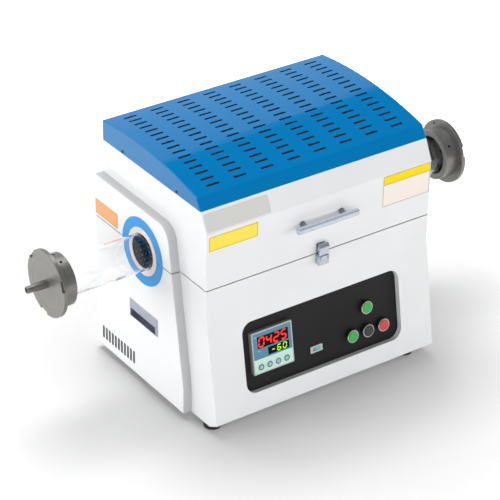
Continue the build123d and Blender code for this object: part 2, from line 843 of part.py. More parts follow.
def lower_hinge_leaves():
    """Leaves on the base, with two knuckles each."""
    third = hinge_width / 3
    spans = [(0, third - hinge_gap), (2 * third + hinge_gap, hinge_width)]
    return hinge_leaf_solid(seam_z - hinge_radius - 1, seam_z - hinge_leaf_height, spans)


def upper_hinge_leaves():
    """Leaves on the lid, with one knuckle each."""
    third = hinge_width / 3
    return hinge_leaf_solid(seam_z + hinge_radius + 1, seam_z + hinge_leaf_height, [(third, 2 * third)])


def hinge_pins():
    """Headed pins through the knuckles."""
    pins = []
    for sign in (-1, 1):
        x_start = body_shift + sign * hinge_spread / 2 - hinge_width / 2
        pin = rod_x(x_start - 1.5, x_start + hinge_width + 1.5, hinge_y, seam_z, hinge_pin_radius)
        pin += rod_x(x_start - 1.5, x_start, hinge_y, seam_z, hinge_radius - 1)
        pin += rod_x(x_start + hinge_width, x_start + hinge_width + 1.5, hinge_y, seam_z, hinge_radius - 1)
        pins.append(pin)
    return solids_of(*pins)


# ---------------------------------------------------------------- front panel parts
def panel_plate_sketch():
    """Outline of the black panel behind the recess."""
    return RectangleRounded(panel_width + 2 * panel_margin, panel_height + 2 * panel_margin,
                            panel_corner + panel_margin)


meter_u = -panel_width / 2 + meter_left + meter_width / 2
meter_v = panel_height / 2 - meter_drop - meter_size / 2
button_u = panel_width / 2 - button_right
button_v = -panel_height / 2 + button_foot
button_places = {
    "top_green": (button_u - button_pitch, button_v + button_row_pitch),
    "left_green": (button_u - 2 * button_pitch, button_v),
    "middle_black": (button_u - button_pitch, button_v),
    "right_red": (button_u, button_v),
}
port_place = (panel_width / 2 - port_right, -panel_height / 2 + port_foot)
plate_w = -panel_recess     # front face of the black panel


def control_panel():
    """Black plate with cut-outs for the controller, buttons and data port."""
    sketch = panel_plate_sketch()
    sketch -= Pos(meter_u, meter_v) * Rectangle(meter_cutout, meter_cutout)
    for u, v in button_places.values():
        sketch -= Pos(u, v) * Circle(button_barrel + button_fit)
    room = 2 * (port_shell + port_fit)
    sketch -= Pos(*port_place) * Rectangle(port_slot_width + room, port_slot_height + room)
    return on_slope(sketch, plate_w - panel_plate, plate_w)


def key_places():
    """(u, v) of the four round keys on the controller."""
    v = meter_v - meter_size / 2 + meter_strip / 2 + 2
    return [(meter_u + (i - 1.5) * key_pitch, v) for i in range(4)]


def meter_bezel_part():
    """Square hollow bezel of the controller."""
    place = Pos(meter_u, meter_v)
    outer = on_slope(place * RectangleRounded(meter_width, meter_size, meter_corner), plate_w,
                     plate_w + meter_bezel)
    front = outer.faces().sort_by(Axis(origin=(0, 0, 0), direction=slope_plane.z_dir))[-1]
    outer = chamfer(front.edges(), 1.2)
    inside = meter_size - 2 * meter_wall
    outer -= on_slope(place * Rectangle(inside, inside), plate_w - 1, plate_w + meter_bezel - meter_wall)
    for u, v in key_places():
        outer -= on_slope(Pos(u, v) * Circle(key_radius + key_fit), plate_w, plate_w + meter_bezel + 1)
    return outer


def meter_case():
    """Housing of the controller, behind the panel."""
    size = meter_cutout - 2 * cut_clearance
    board = meter_size - 2 * meter_wall - 2 * cut_clearance
    place = Pos(meter_u, meter_v)
    body = on_slope(place * Rectangle(size, size), plate_w - meter_depth, plate_w)
    return body + on_slope(place * Rectangle(board, board), plate_w,
                           plate_w + meter_bezel - meter_wall - key_collar - 2.5 * key_travel)


def meter_key(u, v):
    """Round key with a retaining collar behind the bezel's face."""
    face = plate_w + meter_bezel
    back = face - meter_wall
    key = on_slope(Pos(u, v) * Circle(key_radius), back - key_collar, face + key_proud)
    return key + on_slope(Pos(u, v) * Circle(key_radius + 1.2), back - key_collar - 0.2, back - 0.2)


def button_housings():
    """Black housings on the panel, with the barrels that pass through it."""
    group = []
    for u, v in button_places.values():
        place = Pos(u, v)
        body = on_slope(place * Circle(button_radius), plate_w, plate_w + button_housing - button_rim)
        body += on_slope(place * Circle(button_barrel), plate_w - panel_plate - button_barrel_length, plate_w)
        floor = plate_w + button_housing - button_cap_height - button_travel
        body -= on_slope(place * Circle(button_cap_radius + button_fit), floor, plate_w + button_housing)
        body -= on_slope(place * Circle(button_plunger + button_fit),
                         plate_w - panel_plate - button_barrel_length - 1, plate_w + button_housing)
        group.append(body)
    return solids_of(*group)


def button_rims():
    """Bright rings round the caps."""
    group = []
    for u, v in button_places.values():
        place = Pos(u, v)
        ring = Circle(button_radius) - Circle(button_cap_radius + button_fit)
        rim = on_slope(place * ring, plate_w + button_housing - button_rim, plate_w + button_housing)
        front = rim.faces().sort_by(Axis(origin=(0, 0, 0), direction=slope_plane.z_dir))[-1]
        group.append(chamfer(front.outer_wire().edges(), button_bevel))
    return solids_of(*group)


def button_cap(u, v):
    """Cap with a plunger that runs in the barrel."""
    place = Pos(u, v)
    face = plate_w + button_housing + button_cap_proud
    cap = on_slope(place * Circle(button_cap_radius), face - button_cap_height, face)
    front = cap.faces().sort_by(Axis(origin=(0, 0, 0), direction=slope_plane.z_dir))[-1]
    cap = chamfer(front.edges(), button_bevel)
    back = plate_w - panel_plate - button_barrel_length + button_travel + cut_clearance
    return cap + on_slope(place * Circle(button_plunger), back, face - button_cap_height)


def button_blocks():
    """Contact blocks clipped on the barrels."""
    group = []
    back = plate_w - panel_plate - button_barrel_length
    for u, v in button_places.values():
        block_sketch = Pos(u, v) * Rectangle(button_block, button_block)
        group.append(on_slope(block_sketch, back - button_block, back))
    return solids_of(*group)


def data_port():
    """Bright frame with a slot, and the insulating insert in the slot."""
    place = Pos(*port_place)
    body = on_slope(place * RectangleRounded(port_width, port_height, 1.5), plate_w, plate_w + port_proud)
    shell = 2 * port_shell
    body += on_slope(place * Rectangle(port_slot_width + shell, port_slot_height + shell),
                     plate_w - port_reach - shell, plate_w)
    frame = body - on_slope(place * Rectangle(port_slot_width, port_slot_height),
                            plate_w - port_reach, plate_w + port_proud + 1)
    insert = on_slope(place * Rectangle(port_slot_width - port_fit, port_slot_height - port_fit),
                      plate_w - port_reach, plate_w + port_proud / 2)
    return solids_of(frame, insert)


# ---------------------------------------------------------------- rear, feet, inside
def rear_opening():
    """Opening in the back wall behind the rear plate."""
    half = rear_plate_width / 2 - rear_margin
    z0 = case_z + rear_plate_rise + rear_margin
    return block(body_shift - half, body_shift + half, back_y - through, back_y + 1,
                 z0, z0 + rear_plate_height - 2 * rear_margin)


def rear_plate():
    """Removable plate on the back wall, with cooling slots."""
    z0 = case_z + rear_plate_rise
    plate = block(body_shift - rear_plate_width / 2, body_shift + rear_plate_width / 2,
                  back_y, back_y + sheet, z0, z0 + rear_plate_height)
    plate = chamfer(plate.edges().filter_by(Axis.Y), rear_plate_corner)
    for index in range(rear_slot_count):
        x = body_shift + (index - (rear_slot_count - 1) / 2) * rear_slot_pitch
        slot = Rot(0, 0, 90) * cut_corner_slot(rear_slot_height, vent_width)
        place = Plane(origin=(x, back_y + through, z0 + rear_plate_height / 2), x_dir=(1, 0, 0),
                      z_dir=(0, -1, 0))
        plate -= extrude(place * slot, amount=2 * through)
    return plate - rear_screw_holes()


def rear_screw_places():
    """(x, z) of the rear plate's screws."""
    z0 = case_z + rear_plate_rise
    spread = rear_plate_width / 2 - rear_screw_inset
    return [(body_shift + sx * spread, z0 + dz) for sx in (-1, 1)
            for dz in (2 * rear_screw_inset, rear_plate_height - 2 * rear_screw_inset)]


def bar_y(x, z, radius, reach):
    """Round bar along Y through the back wall."""
    return Pos(x, back_y, z) * Rot(90, 0, 0) * Cylinder(radius, 2 * reach)


def rear_screw_holes():
    """Clearance holes for the rear plate's screws."""
    return [bar_y(x, z, screw_radius + screw_fit, screw_length) for x, z in rear_screw_places()]


gland_x = right_x - gland_inset
gland_z = case_z + gland_rise


def rear_holes():
    """Holes in the back wall for the mains gland and the rear plate's screws."""
    return [bar_y(gland_x, gland_z, gland_thread + cut_clearance, gland_reach), *rear_screw_holes()]


def cable_gland():
    """Mains gland through the back wall."""
    axis = Pos(gland_x, back_y, gland_z) * Rot(-90, 0, 0)
    profile = polygon([
        (gland_bore, -gland_reach), (gland_thread, -gland_reach), (gland_thread, 0), (gland_radius, 0),
        (gland_radius, gland_length / 2), (gland_radius - 2, gland_length), (gland_bore, gland_length),
    ])
    return axis * revolve(Plane.XZ * profile, axis=Axis.Z)


def feet():
    """Four tapered rubber feet."""
    group = []
    for x in (left_x + foot_inset_left, right_x - foot_inset_right):
        for y in (front_y + foot_front, front_y + foot_back):
            foot = Cone(foot_radius - foot_taper, foot_radius, foot_height)
            group.append(Pos(x, y, foot_height / 2) * foot)
    return solids_of(*group)


def sheath_rod(radius, z0, z1):
    """Upright round bar on the thermocouple's axis."""
    return Pos(body_shift, tube_y, (z0 + z1) / 2) * Cylinder(radius, z1 - z0)


def sheath_hole():
    """Passage for the thermocouple through the lower insulation and its liner."""
    return sheath_rod(sheath_radius + cut_clearance, seam_z - 2 * insulation_height, seam_z)


def thermocouple():
    """Sheath up through the lower insulation, with its terminal head under the liner."""
    liner_z = seam_z - insulation_height - liner_sheet
    sheath = sheath_rod(sheath_radius, liner_z, seam_z - chamber_radius - 0.5)
    return sheath + sheath_rod(sheath_head_radius, liner_z - sheath_head_height, liner_z)


def heat_sink():
    """Finned heat sink of the power relay, on the case floor."""
    x0 = body_shift + heat_sink_right
    y1 = tube_y + heat_sink_depth
    z0 = case_z + sheet
    body = block(x0, x0 + heat_sink_width, tube_y, y1, z0, z0 + heat_sink_base)
    pitch = (heat_sink_width - heat_sink_fin) / (heat_sink_fins - 1)
    for index in range(heat_sink_fins):
        x = x0 + index * pitch
        body += block(x, x + heat_sink_fin, tube_y, y1, z0 + heat_sink_base, z0 + heat_sink_height)
    return body


def power_relay():
    """Solid-state relay beside the heat sink."""
    x0 = body_shift + heat_sink_right + (heat_sink_width - relay_width) / 2
    y1 = tube_y - relay_gap
    z0 = case_z + sheet
    body = block(x0, x0 + relay_width, y1 - relay_depth, y1, z0, z0 + relay_height)
    return chamfer(body.edges().filter_by(Axis.Z), edge_bend)


# ---------------------------------------------------------------- tube assembly
def quartz_tube():
    """Clear fused-quartz work tube."""
    half = tube_length / 2
    return pipe_x(-half, half, tube_y, seam_z, tube_radius, tube_radius - tube_wall)


def hub_screw_bars(turn, start, end, radius):
    """Radial bars at the left hub's set screws, between two distances from the tube's axis."""
    x = -flange_face + plate_thickness + hub_length / 2
    bars = []
    for angle in hub_screw_angles:
        spin = Pos(x, tube_y, seam_z) * Rot(angle + turn - 90, 0, 0)
        bars.append(spin * Pos(0, 0, (start + end) / 2) * Cylinder(radius, end - start))
    return bars


def hub_screws(turn):
    """Left hub's socket set screws, a little below its surface."""
    end = hub_radius - hub_screw_sink
    return hub_screw_bars(turn, end - hub_screw_length, end, hub_screw_radius)


def flange_hub(turn):
    """Left hub: steel ring that clamps the seal on the tube, with threaded holes round it."""
    outer = -(flange_face - plate_thickness)
    inner = outer + hub_length
    profile = polygon([
        (hub_bore, outer), (hub_radius, outer), (hub_radius, inner - hub_chamfer),
        (hub_radius - hub_chamfer, inner), (hub_bore + hub_chamfer, inner), (hub_bore, inner - hub_chamfer),
    ])
    hub = Pos(0, tube_y, seam_z) * Rot(0, 90, 0) * revolve(Plane.XZ * profile, axis=Axis.Z)
    hole_foot = hub_radius - hub_screw_sink - hub_screw_length
    return hub - hub_screw_bars(turn, hole_foot, hub_radius + 1, hub_screw_radius + set_screw_fit)


def set_screw_bars(x0, x1, radius):
    """Bars along X at the screws in the plate's rim."""
    bars = []
    for index in range(set_screw_count):
        angle = radians(set_screw_angle + index * 360 / set_screw_count)
        bars.append(rod_x(x0, x1, tube_y + set_screw_ring * cos(angle), seam_z + set_screw_ring * sin(angle),
                          radius))
    return bars


def set_screws():
    """Left plate's grub screws, a little below its inner face."""
    end = -flange_face + plate_thickness - set_screw_sink
    return set_screw_bars(end - plate_thickness / 2, end, set_screw_radius)


def flange_plate():
    """Left end plate with three spanner notches and the nozzle's hole."""
    face = -flange_face
    inner = face + plate_thickness
    hole = nozzle_thread_radius + seal_fit
    profile = polygon([
        (hole, face), (plate_radius - plate_chamfer, face), (plate_radius, face + plate_chamfer),
        (plate_radius, inner - plate_chamfer), (plate_radius - plate_chamfer, inner), (hole, inner),
    ])
    plate = Pos(0, tube_y, seam_z) * Rot(0, 90, 0) * revolve(Plane.XZ * profile, axis=Axis.Z)
    for index in range(notch_count):
        angle = notch_angle + index * 360 / notch_count
        cutter = Box(2 * notch_axial, notch_length, 2 * notch_depth)
        plate -= Pos(face, tube_y, seam_z) * Rot(angle - 90, 0, 0) * Pos(0, 0, plate_radius) * cutter
    for bar in set_screw_bars(inner - set_screw_sink - plate_thickness / 2, inner + 1,
                              set_screw_radius + set_screw_fit):
        plate -= bar
    return plate


def flange_seal():
    """Rubber sleeve between the hub and the tube."""
    outer = -(flange_face - plate_thickness)
    inner = outer + hub_length - 2
    return pipe_x(inner - seal_length, inner, tube_y, seam_z, hub_bore - seal_fit, tube_radius + seal_fit)


def flange_gasket():
    """Flat washer between the tube's end and the plate."""
    outer = -(flange_face - plate_thickness)
    rim = hub_bore - seal_fit
    return pipe_x(outer, -tube_length / 2, tube_y, seam_z, rim, rim - gasket_lip)


def gas_nozzle():
    """Hose nozzle on the left plate's axis."""
    face = -flange_face
    profile = polygon([
        (nozzle_bore, face + plate_thickness), (nozzle_thread_radius, face + plate_thickness),
        (nozzle_thread_radius, face), (nozzle_radius, face),
        (nozzle_radius, face - nozzle_length + nozzle_tip_length),
        (nozzle_tip_radius, face - nozzle_length + nozzle_tip_length),
        (nozzle_tip_radius, face - nozzle_length + 1), (nozzle_tip_radius - 1, face - nozzle_length),
        (nozzle_bore, face - nozzle_length),
    ])
    return Pos(0, tube_y, seam_z) * Rot(0, 90, 0) * revolve(Plane.XZ * profile, axis=Axis.Z)


def to_right(shape):
    """A left tube-end piece mirrored to the right end."""
    return mirror(shape, about=Plane.YZ)


# ---------------------------------------------------------------- write the nodes
def build_nodes():
    """All sub-parts by node name."""
    hub = flange_hub(0)
    plate = flange_plate()
    nozzle = gas_nozzle()
    left_screws = set_screws() + hub_screws(0)
    right_screws = set_screws() + hub_screws(right_hub_turn)
    seal = flange_seal()
    gasket = flange_gasket()
    lower_cover = lower_side_cover()
    upper_cover = upper_side_cover()
    pull = flush_pull()
    nodes = {
        "base_case": base_case(),
        "base_deck": base_deck(),
        "left_lower_side_cover": lower_cover,
        "right_lower_side_cover": mirrored(lower_cover),
        "flush_pull_handles": solids_of(pull, mirrored(pull)),
        "lower_port_rings": half_turn(upper_port_rings()),
        "lower_collars": half_turn(upper_collars()),
        "lower_insulation": half_turn(upper_insulation()) - sheath_hole(),
        "lower_heater": half_turn(upper_heater()),
        "lower_liner": half_turn(upper_liner()) - sheath_hole(),
        "control_panel": control_panel(),
        "controller_bezel": meter_bezel_part(),
        "controller_case": meter_case(),
        "button_housings": button_housings(),
        "button_rims": button_rims(),
        "button_contact_blocks": button_blocks(),
        "data_port": data_port(),
        "latch_plate": latch_plate(),
        "latch_lever": latch_lever(),
        "latch_claw": latch_claw(),
        "latch_keeper": latch_keeper(),
        "lower_hinge_leaves": lower_hinge_leaves(),
        "hinge_pins": hinge_pins(),
        "upper_hinge_leaves": upper_hinge_leaves(),
        "rear_plate": rear_plate(),
        "cable_gland": cable_gland(),
        "rubber_feet": feet(),
        "thermocouple": thermocouple(),
        "relay_heat_sink": heat_sink(),
        "power_relay": power_relay(),
        "lid_case": lid_case(),
        "lid_deck": lid_deck(),
        "top_cover": top_cover(),
        "top_cover_screws": cover_screws(),
        "left_upper_side_cover": upper_cover,
        "right_upper_side_cover": mirrored(upper_cover),
        "upper_port_rings": upper_port_rings(),
        "upper_collars": upper_collars(),
        "upper_insulation": upper_insulation(),
        "upper_heater": upper_heater(),
        "upper_liner": upper_liner(),
        "lid_handle_bar": lid_handle(),
        "lid_handle_posts": lid_handle_posts(),
        "quartz_tube": quartz_tube(),
        "left_flange_hub": hub,
        "right_flange_hub": to_right(flange_hub(right_hub_turn)),
        "left_flange_plate": plate,
        "right_flange_plate": to_right(plate),
        "flange_seals": solids_of(seal, gasket, to_right(seal), to_right(gasket)),
        "gas_nozzles": solids_of(nozzle, to_right(nozzle)),
        "flange_set_screws": solids_of(*left_screws, *[to_right(screw) for screw in right_screws]),
    }
    for name, (u, v) in button_places.items():
        nodes[f"{name}_button"] = button_cap(u, v)
    for index, (u, v) in enumerate(key_places()):
        nodes[f"controller_key_{index + 1}"] = meter_key(u, v)
    return nodes


def main():
    """Write every node."""
    os.makedirs("parts", exist_ok=True)
    for name, shape in build_nodes().items():
        export_step(shape, f"parts/{name}.step")


if __name__ == "__main__":
    main()
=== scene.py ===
"""Looks of a split-hinge tube furnace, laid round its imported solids.

Sizes are millimetres in every class and become metres in Surface.at and metre(); only the lamps are
in metres.  The frame is the part's own: +X along the quartz tube, +Y to the back, +Z up.
"""

import json
import logging
import math
from dataclasses import dataclass
from enum import Enum
from typing import Any, Sequence

import bmesh
import bpy
from mathutils import Matrix, Vector


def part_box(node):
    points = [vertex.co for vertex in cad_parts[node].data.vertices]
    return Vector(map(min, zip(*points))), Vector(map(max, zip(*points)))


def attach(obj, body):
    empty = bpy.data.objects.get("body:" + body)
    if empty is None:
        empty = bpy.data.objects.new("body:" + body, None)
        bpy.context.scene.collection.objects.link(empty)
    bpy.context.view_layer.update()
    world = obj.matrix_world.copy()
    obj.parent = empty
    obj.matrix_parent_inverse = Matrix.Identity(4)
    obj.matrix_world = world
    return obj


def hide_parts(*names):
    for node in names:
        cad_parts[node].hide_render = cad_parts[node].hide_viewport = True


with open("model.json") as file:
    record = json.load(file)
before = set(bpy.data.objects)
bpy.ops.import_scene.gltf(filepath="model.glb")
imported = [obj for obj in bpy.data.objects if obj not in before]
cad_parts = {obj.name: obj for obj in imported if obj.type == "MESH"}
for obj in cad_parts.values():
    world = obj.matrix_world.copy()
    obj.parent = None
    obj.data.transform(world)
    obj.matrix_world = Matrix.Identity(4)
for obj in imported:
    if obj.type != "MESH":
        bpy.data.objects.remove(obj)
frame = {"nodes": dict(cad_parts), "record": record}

LOG = logging.getLogger("furnace")
MM = 0.001          # metres in a millimetre
SKIN = 0.12         # a laid-on film or print stands this far off what carries it
LIFT = 0.01         # the underside of such a film is this far off
INK_FOOT = 0.5 * SKIN   # underside of a print on a film, sunk into the film
INK_TOP = 2 * SKIN      # top of a print on a film
SCREW_SIDES = 24    # corners of a screw's outline
SCREW_PROFILE = ((1.0, 0.0), (1.0, 0.62), (0.93, 0.84), (0.78, 1.0))   # shares of its radius and height


# ---------------------------------------------------------------- units and colours
def metre(value: float) -> float:
    """Returns millimetres as metres."""
    return value * MM


def per_metre(size_mm: float) -> float:
    """Returns the scale of a texture whose features are size_mm across."""
    return 1000.0 / size_mm


def linear(hex_colour: str) -> tuple[float, float, float, float]:
    """Turns an sRGB hex colour into linear values.

    Args:
        hex_colour: six hex digits after a hash sign.

    Returns:
        Linear red, green, blue and an alpha of 1.
    """
    digits = hex_colour.lstrip("#")
    parts = [int(digits[i:i + 2], 16) / 255 for i in (0, 2, 4)]
    low = [p / 12.92 if p <= 0.04045 else ((p + 0.055) / 1.055) ** 2.4 for p in parts]
    return (low[0], low[1], low[2], 1.0)


def add_node(tree: bpy.types.NodeTree, kind: str, inputs: dict[Any, Any] | None = None,
             **settings: Any) -> bpy.types.Node:
    """Adds a node, sets it up and feeds its sockets.

    Args:
        tree: the tree that gets the node.
        kind: the node's type name.
        inputs: socket name or index to a value, or to the output socket that feeds it.
        settings: the node's own properties.

    Returns:
        The new node.
    """
    node = tree.nodes.new(kind)
    for key, value in settings.items():
        setattr(node, key, value)
    for key, value in (inputs or {}).items():
        if isinstance(value, bpy.types.NodeSocket):
            tree.links.new(value, node.inputs[key])
        else:
            node.inputs[key].default_value = value
    return node


# ---------------------------------------------------------------- finishes
@dataclass(frozen=True)
class Coat:
    """A material under way.

    Attributes:
        tree: its node tree.
        shader: its Principled shader.
        place: Object coordinates.
    """
    tree: bpy.types.NodeTree
    shader: bpy.types.Node
    place: bpy.types.NodeSocket

    def feed(self, name: str, value: bpy.types.NodeSocket) -> None:
        """Links a socket to the shader's input of that name."""
        self.tree.links.new(value, self.shader.inputs[name])

    def tint(self, value: bpy.types.NodeSocket, first: str, other: str,
             between: tuple[float, float] | None = None, most: float = 1.0) -> None:
        """Colours the surface by a value.

        Args:
            value: socket that the colour follows.
            first: sRGB hex where the value is low.
            other: sRGB hex where the value is high.
            between: values at which the blend starts and ends; 0 and 1 when left out.
            most: greatest share of the other colour.
        """
        if between is not None:
            start, end = between
            share = add_node(self.tree, "ShaderNodeMapRange", {"Value": value, "From Min": start,
                                                               "From Max": end, "To Max": most})
            value = share.outputs["Result"]
        mix = add_node(self.tree, "ShaderNodeMix", {"Factor": value, 6: linear(first), 7: linear(other)},
                       data_type="RGBA")
        self.feed("Base Color", mix.outputs[2])

    def polish(self, noise: bpy.types.NodeSocket, smoothest: float, roughest: float) -> None:
        """Lets the roughness drift with a noise, whose values lie mostly between 0.3 and 0.7.

        Args:
            noise: the noise's socket.
            smoothest: roughness where the noise is low.
            roughest: roughness where it is high.
        """
        rough = add_node(self.tree, "ShaderNodeMapRange", {"Value": noise, "From Min": 0.3, "From Max": 0.7,
                                                           "To Min": smoothest, "To Max": roughest})
        self.feed("Roughness", rough.outputs["Result"])

    def relief(self, height: bpy.types.NodeSocket, strength: float, depth_mm: float) -> None:
        """Gives the surface fine relief.

        Args:
            height: socket that is 0 in a dip and 1 on a crest.
            strength: how much of the relief the light shows.
            depth_mm: height of a crest over a dip.
        """
        bump = add_node(self.tree, "ShaderNodeBump", {"Height": height, "Strength": strength,
                                                      "Distance": metre(depth_mm)})
        self.feed("Normal", bump.outputs["Normal"])


@dataclass(frozen=True)
class Finish:
    """A named surface finish.

    Attributes:
        name: the material's name.
        colour: sRGB hex of the surface in plain light.
        roughness: mean roughness.
        metallic: 1 for bare metal.
        ior: index of refraction.
        gloss: specular level; 0.5 is plain glass-like gloss.
    """
    name: str
    colour: str
    roughness: float = 0.5
    metallic: float = 0.0
    ior: float = 1.5
    gloss: float = 0.5

    def material(self) -> bpy.types.Material:
        """Returns the finish's material, built once."""
        known = bpy.data.materials.get(self.name)
        if known is not None:
            return known
        made = bpy.data.materials.new(self.name)
        made.use_nodes = True
        tree = made.node_tree
        shader = tree.nodes["Principled BSDF"]
        for name, value in (("Base Color", linear(self.colour)), ("Roughness", self.roughness),
                            ("Metallic", self.metallic), ("IOR", self.ior), ("Specular IOR Level", self.gloss)):
            shader.inputs[name].default_value = value
        self.dress(Coat(tree, shader, add_node(tree, "ShaderNodeTexCoord").outputs["Object"]))
        return made

    def dress(self, coat: Coat) -> None:
        """Adds the finish's own pattern; the plain finish has none.

        Args:
            coat: the material under way.
        """


@dataclass(frozen=True)
class Enamel(Finish):
    """Stove enamel sprayed on sheet steel: glossy, with a faint orange-peel ripple.

    Attributes:
        shade: the other colour of its slow cloudiness.
        peel_mm: size of the ripple; real peel is about 1.5 mm, drawn coarser so that it shows.
        cloud_mm: size of the clouds.
        peel_height_mm: height of the ripple.
    """
    shade: str = "#e4e5e6"
    peel_mm: float = 5.0
    cloud_mm: float = 160.0
    peel_height_mm: float = 0.012

    def dress(self, coat: Coat) -> None:
        """Adds slow cloudiness, roughness drift and the peel.

        Args:
            coat: the material under way.
        """
        cloud = add_node(coat.tree, "ShaderNodeTexNoise", {"Vector": coat.place, "Detail": 2.0,
                                                           "Scale": per_metre(self.cloud_mm)})
        coat.tint(cloud.outputs["Fac"], self.colour, self.shade)
        coat.polish(cloud.outputs["Fac"], self.roughness * 0.9, self.roughness * 1.15)
        peel = add_node(coat.tree, "ShaderNodeTexNoise", {"Vector": coat.place, "Detail": 1.0,
                                                          "Scale": per_metre(self.peel_mm)})
        coat.relief(peel.outputs["Fac"], strength=0.5, depth_mm=self.peel_height_mm)


@dataclass(frozen=True)
class TurnedSteel(Finish):
    """Stainless steel faced and turned in a lathe: fine rings round the tube's axis.

    Attributes:
        axis_y: the axis's y in metres.
        axis_z: its z in metres.
        ring_mm: width of a ring; a turning feed is about 0.1 mm, drawn coarser so that it shows.
        shade: the other colour of the rings.
    """
    axis_y: float = 0.0
    axis_z: float = 0.0
    ring_mm: float = 1.6
    shade: str = "#807f7b"

    def dress(self, coat: Coat) -> None:
        """Adds rings in colour, roughness and height, by the distance from the axis.

        Args:
            coat: the material under way.
        """
        tree = coat.tree
        moved = add_node(tree, "ShaderNodeMapping", {"Vector": coat.place,
                                                     "Location": (0.0, -self.axis_y, -self.axis_z)})
        parts = add_node(tree, "ShaderNodeSeparateXYZ", {"Vector": moved.outputs["Vector"]})
        flat = add_node(tree, "ShaderNodeCombineXYZ", {"Y": parts.outputs["Y"], "Z": parts.outputs["Z"]})
        radius = add_node(tree, "ShaderNodeVectorMath", {0: flat.outputs["Vector"]}, operation="LENGTH")
        line = add_node(tree, "ShaderNodeCombineXYZ", {"X": radius.outputs["Value"], "Y": parts.outputs["X"]})
        rings = add_node(tree, "ShaderNodeTexNoise", {"Vector": line.outputs["Vector"], "Detail": 3.0,
                                                      "Scale": per_metre(self.ring_mm)})
        coat.tint(rings.outputs["Fac"], self.colour, self.shade)
        coat.polish(rings.outputs["Fac"], self.roughness * 0.75, self.roughness * 1.3)
        coat.relief(rings.outputs["Fac"], strength=0.25, depth_mm=0.02)


@dataclass(frozen=True)
class BrushedMetal(Finish):
    """Rolled or brushed metal: streaks along X, with soft smears.

    Attributes:
        shade: the streaks' colour.
        streak_mm: width of a streak.
        streak_length: its length as a multiple of its width.
    """
    shade: str = "#9a9ba0"
    streak_mm: float = 0.9
    streak_length: float = 40.0

    def dress(self, coat: Coat) -> None:
        """Adds streaks that are long in X and fine across it.

        Args:
            coat: the material under way.
        """
        stretched = add_node(coat.tree, "ShaderNodeMapping", {"Vector": coat.place,
                                                              "Scale": (1.0 / self.streak_length, 1.0, 1.0)})
        streaks = add_node(coat.tree, "ShaderNodeTexNoise", {"Vector": stretched.outputs["Vector"],
                                                             "Scale": per_metre(self.streak_mm), "Detail": 2.0})
        coat.tint(streaks.outputs["Fac"], self.colour, self.shade, between=(0.35, 0.65))
        coat.polish(streaks.outputs["Fac"], self.roughness * 0.8, self.roughness * 1.25)


@dataclass(frozen=True)
class MouldedPlastic(Finish):
    """Injection-moulded plastic: spark-eroded grain that dulls the gloss.

    Attributes:
        grain_mm: size of the grain; real grain is about 0.3 mm, drawn coarser so that it shows.
        shade: the grain's other colour.
    """
    grain_mm: float = 1.8
    shade: str = "#333333"

    def dress(self, coat: Coat) -> None:
        """Adds the grain in height and a little in colour.

        Args:
            coat: the material under way.
        """
        grain = add_node(coat.tree, "ShaderNodeTexNoise", {"Vector": coat.place, "Detail": 2.0,
                                                           "Scale": per_metre(self.grain_mm)})
        coat.tint(grain.outputs["Fac"], self.colour, self.shade, between=(0.4, 0.6))
        coat.relief(grain.outputs["Fac"], strength=0.3, depth_mm=0.03)


@dataclass(frozen=True)
class FibreBoard(Finish):
    """Vacuum-formed alumina fibre: chalky, with short matted fibres and small pits.

    Attributes:
        shade: colour of the pits.
        fibre_mm: size of the matting.
    """
    shade: str = "#d9d4cc"
    fibre_mm: float = 3.0

    def dress(self, coat: Coat) -> None:
        """Adds matted fibres and pits.

        Args:
            coat: the material under way.
        """
        fibres = add_node(coat.tree, "ShaderNodeTexNoise", {"Vector": coat.place, "Detail": 5.0,
                                                            "Scale": per_metre(self.fibre_mm),
                                                            "Distortion": 1.5})
        coat.tint(fibres.outputs["Fac"], self.colour, self.shade, between=(0.35, 0.7))
        coat.relief(fibres.outputs["Fac"], strength=0.5, depth_mm=0.25)


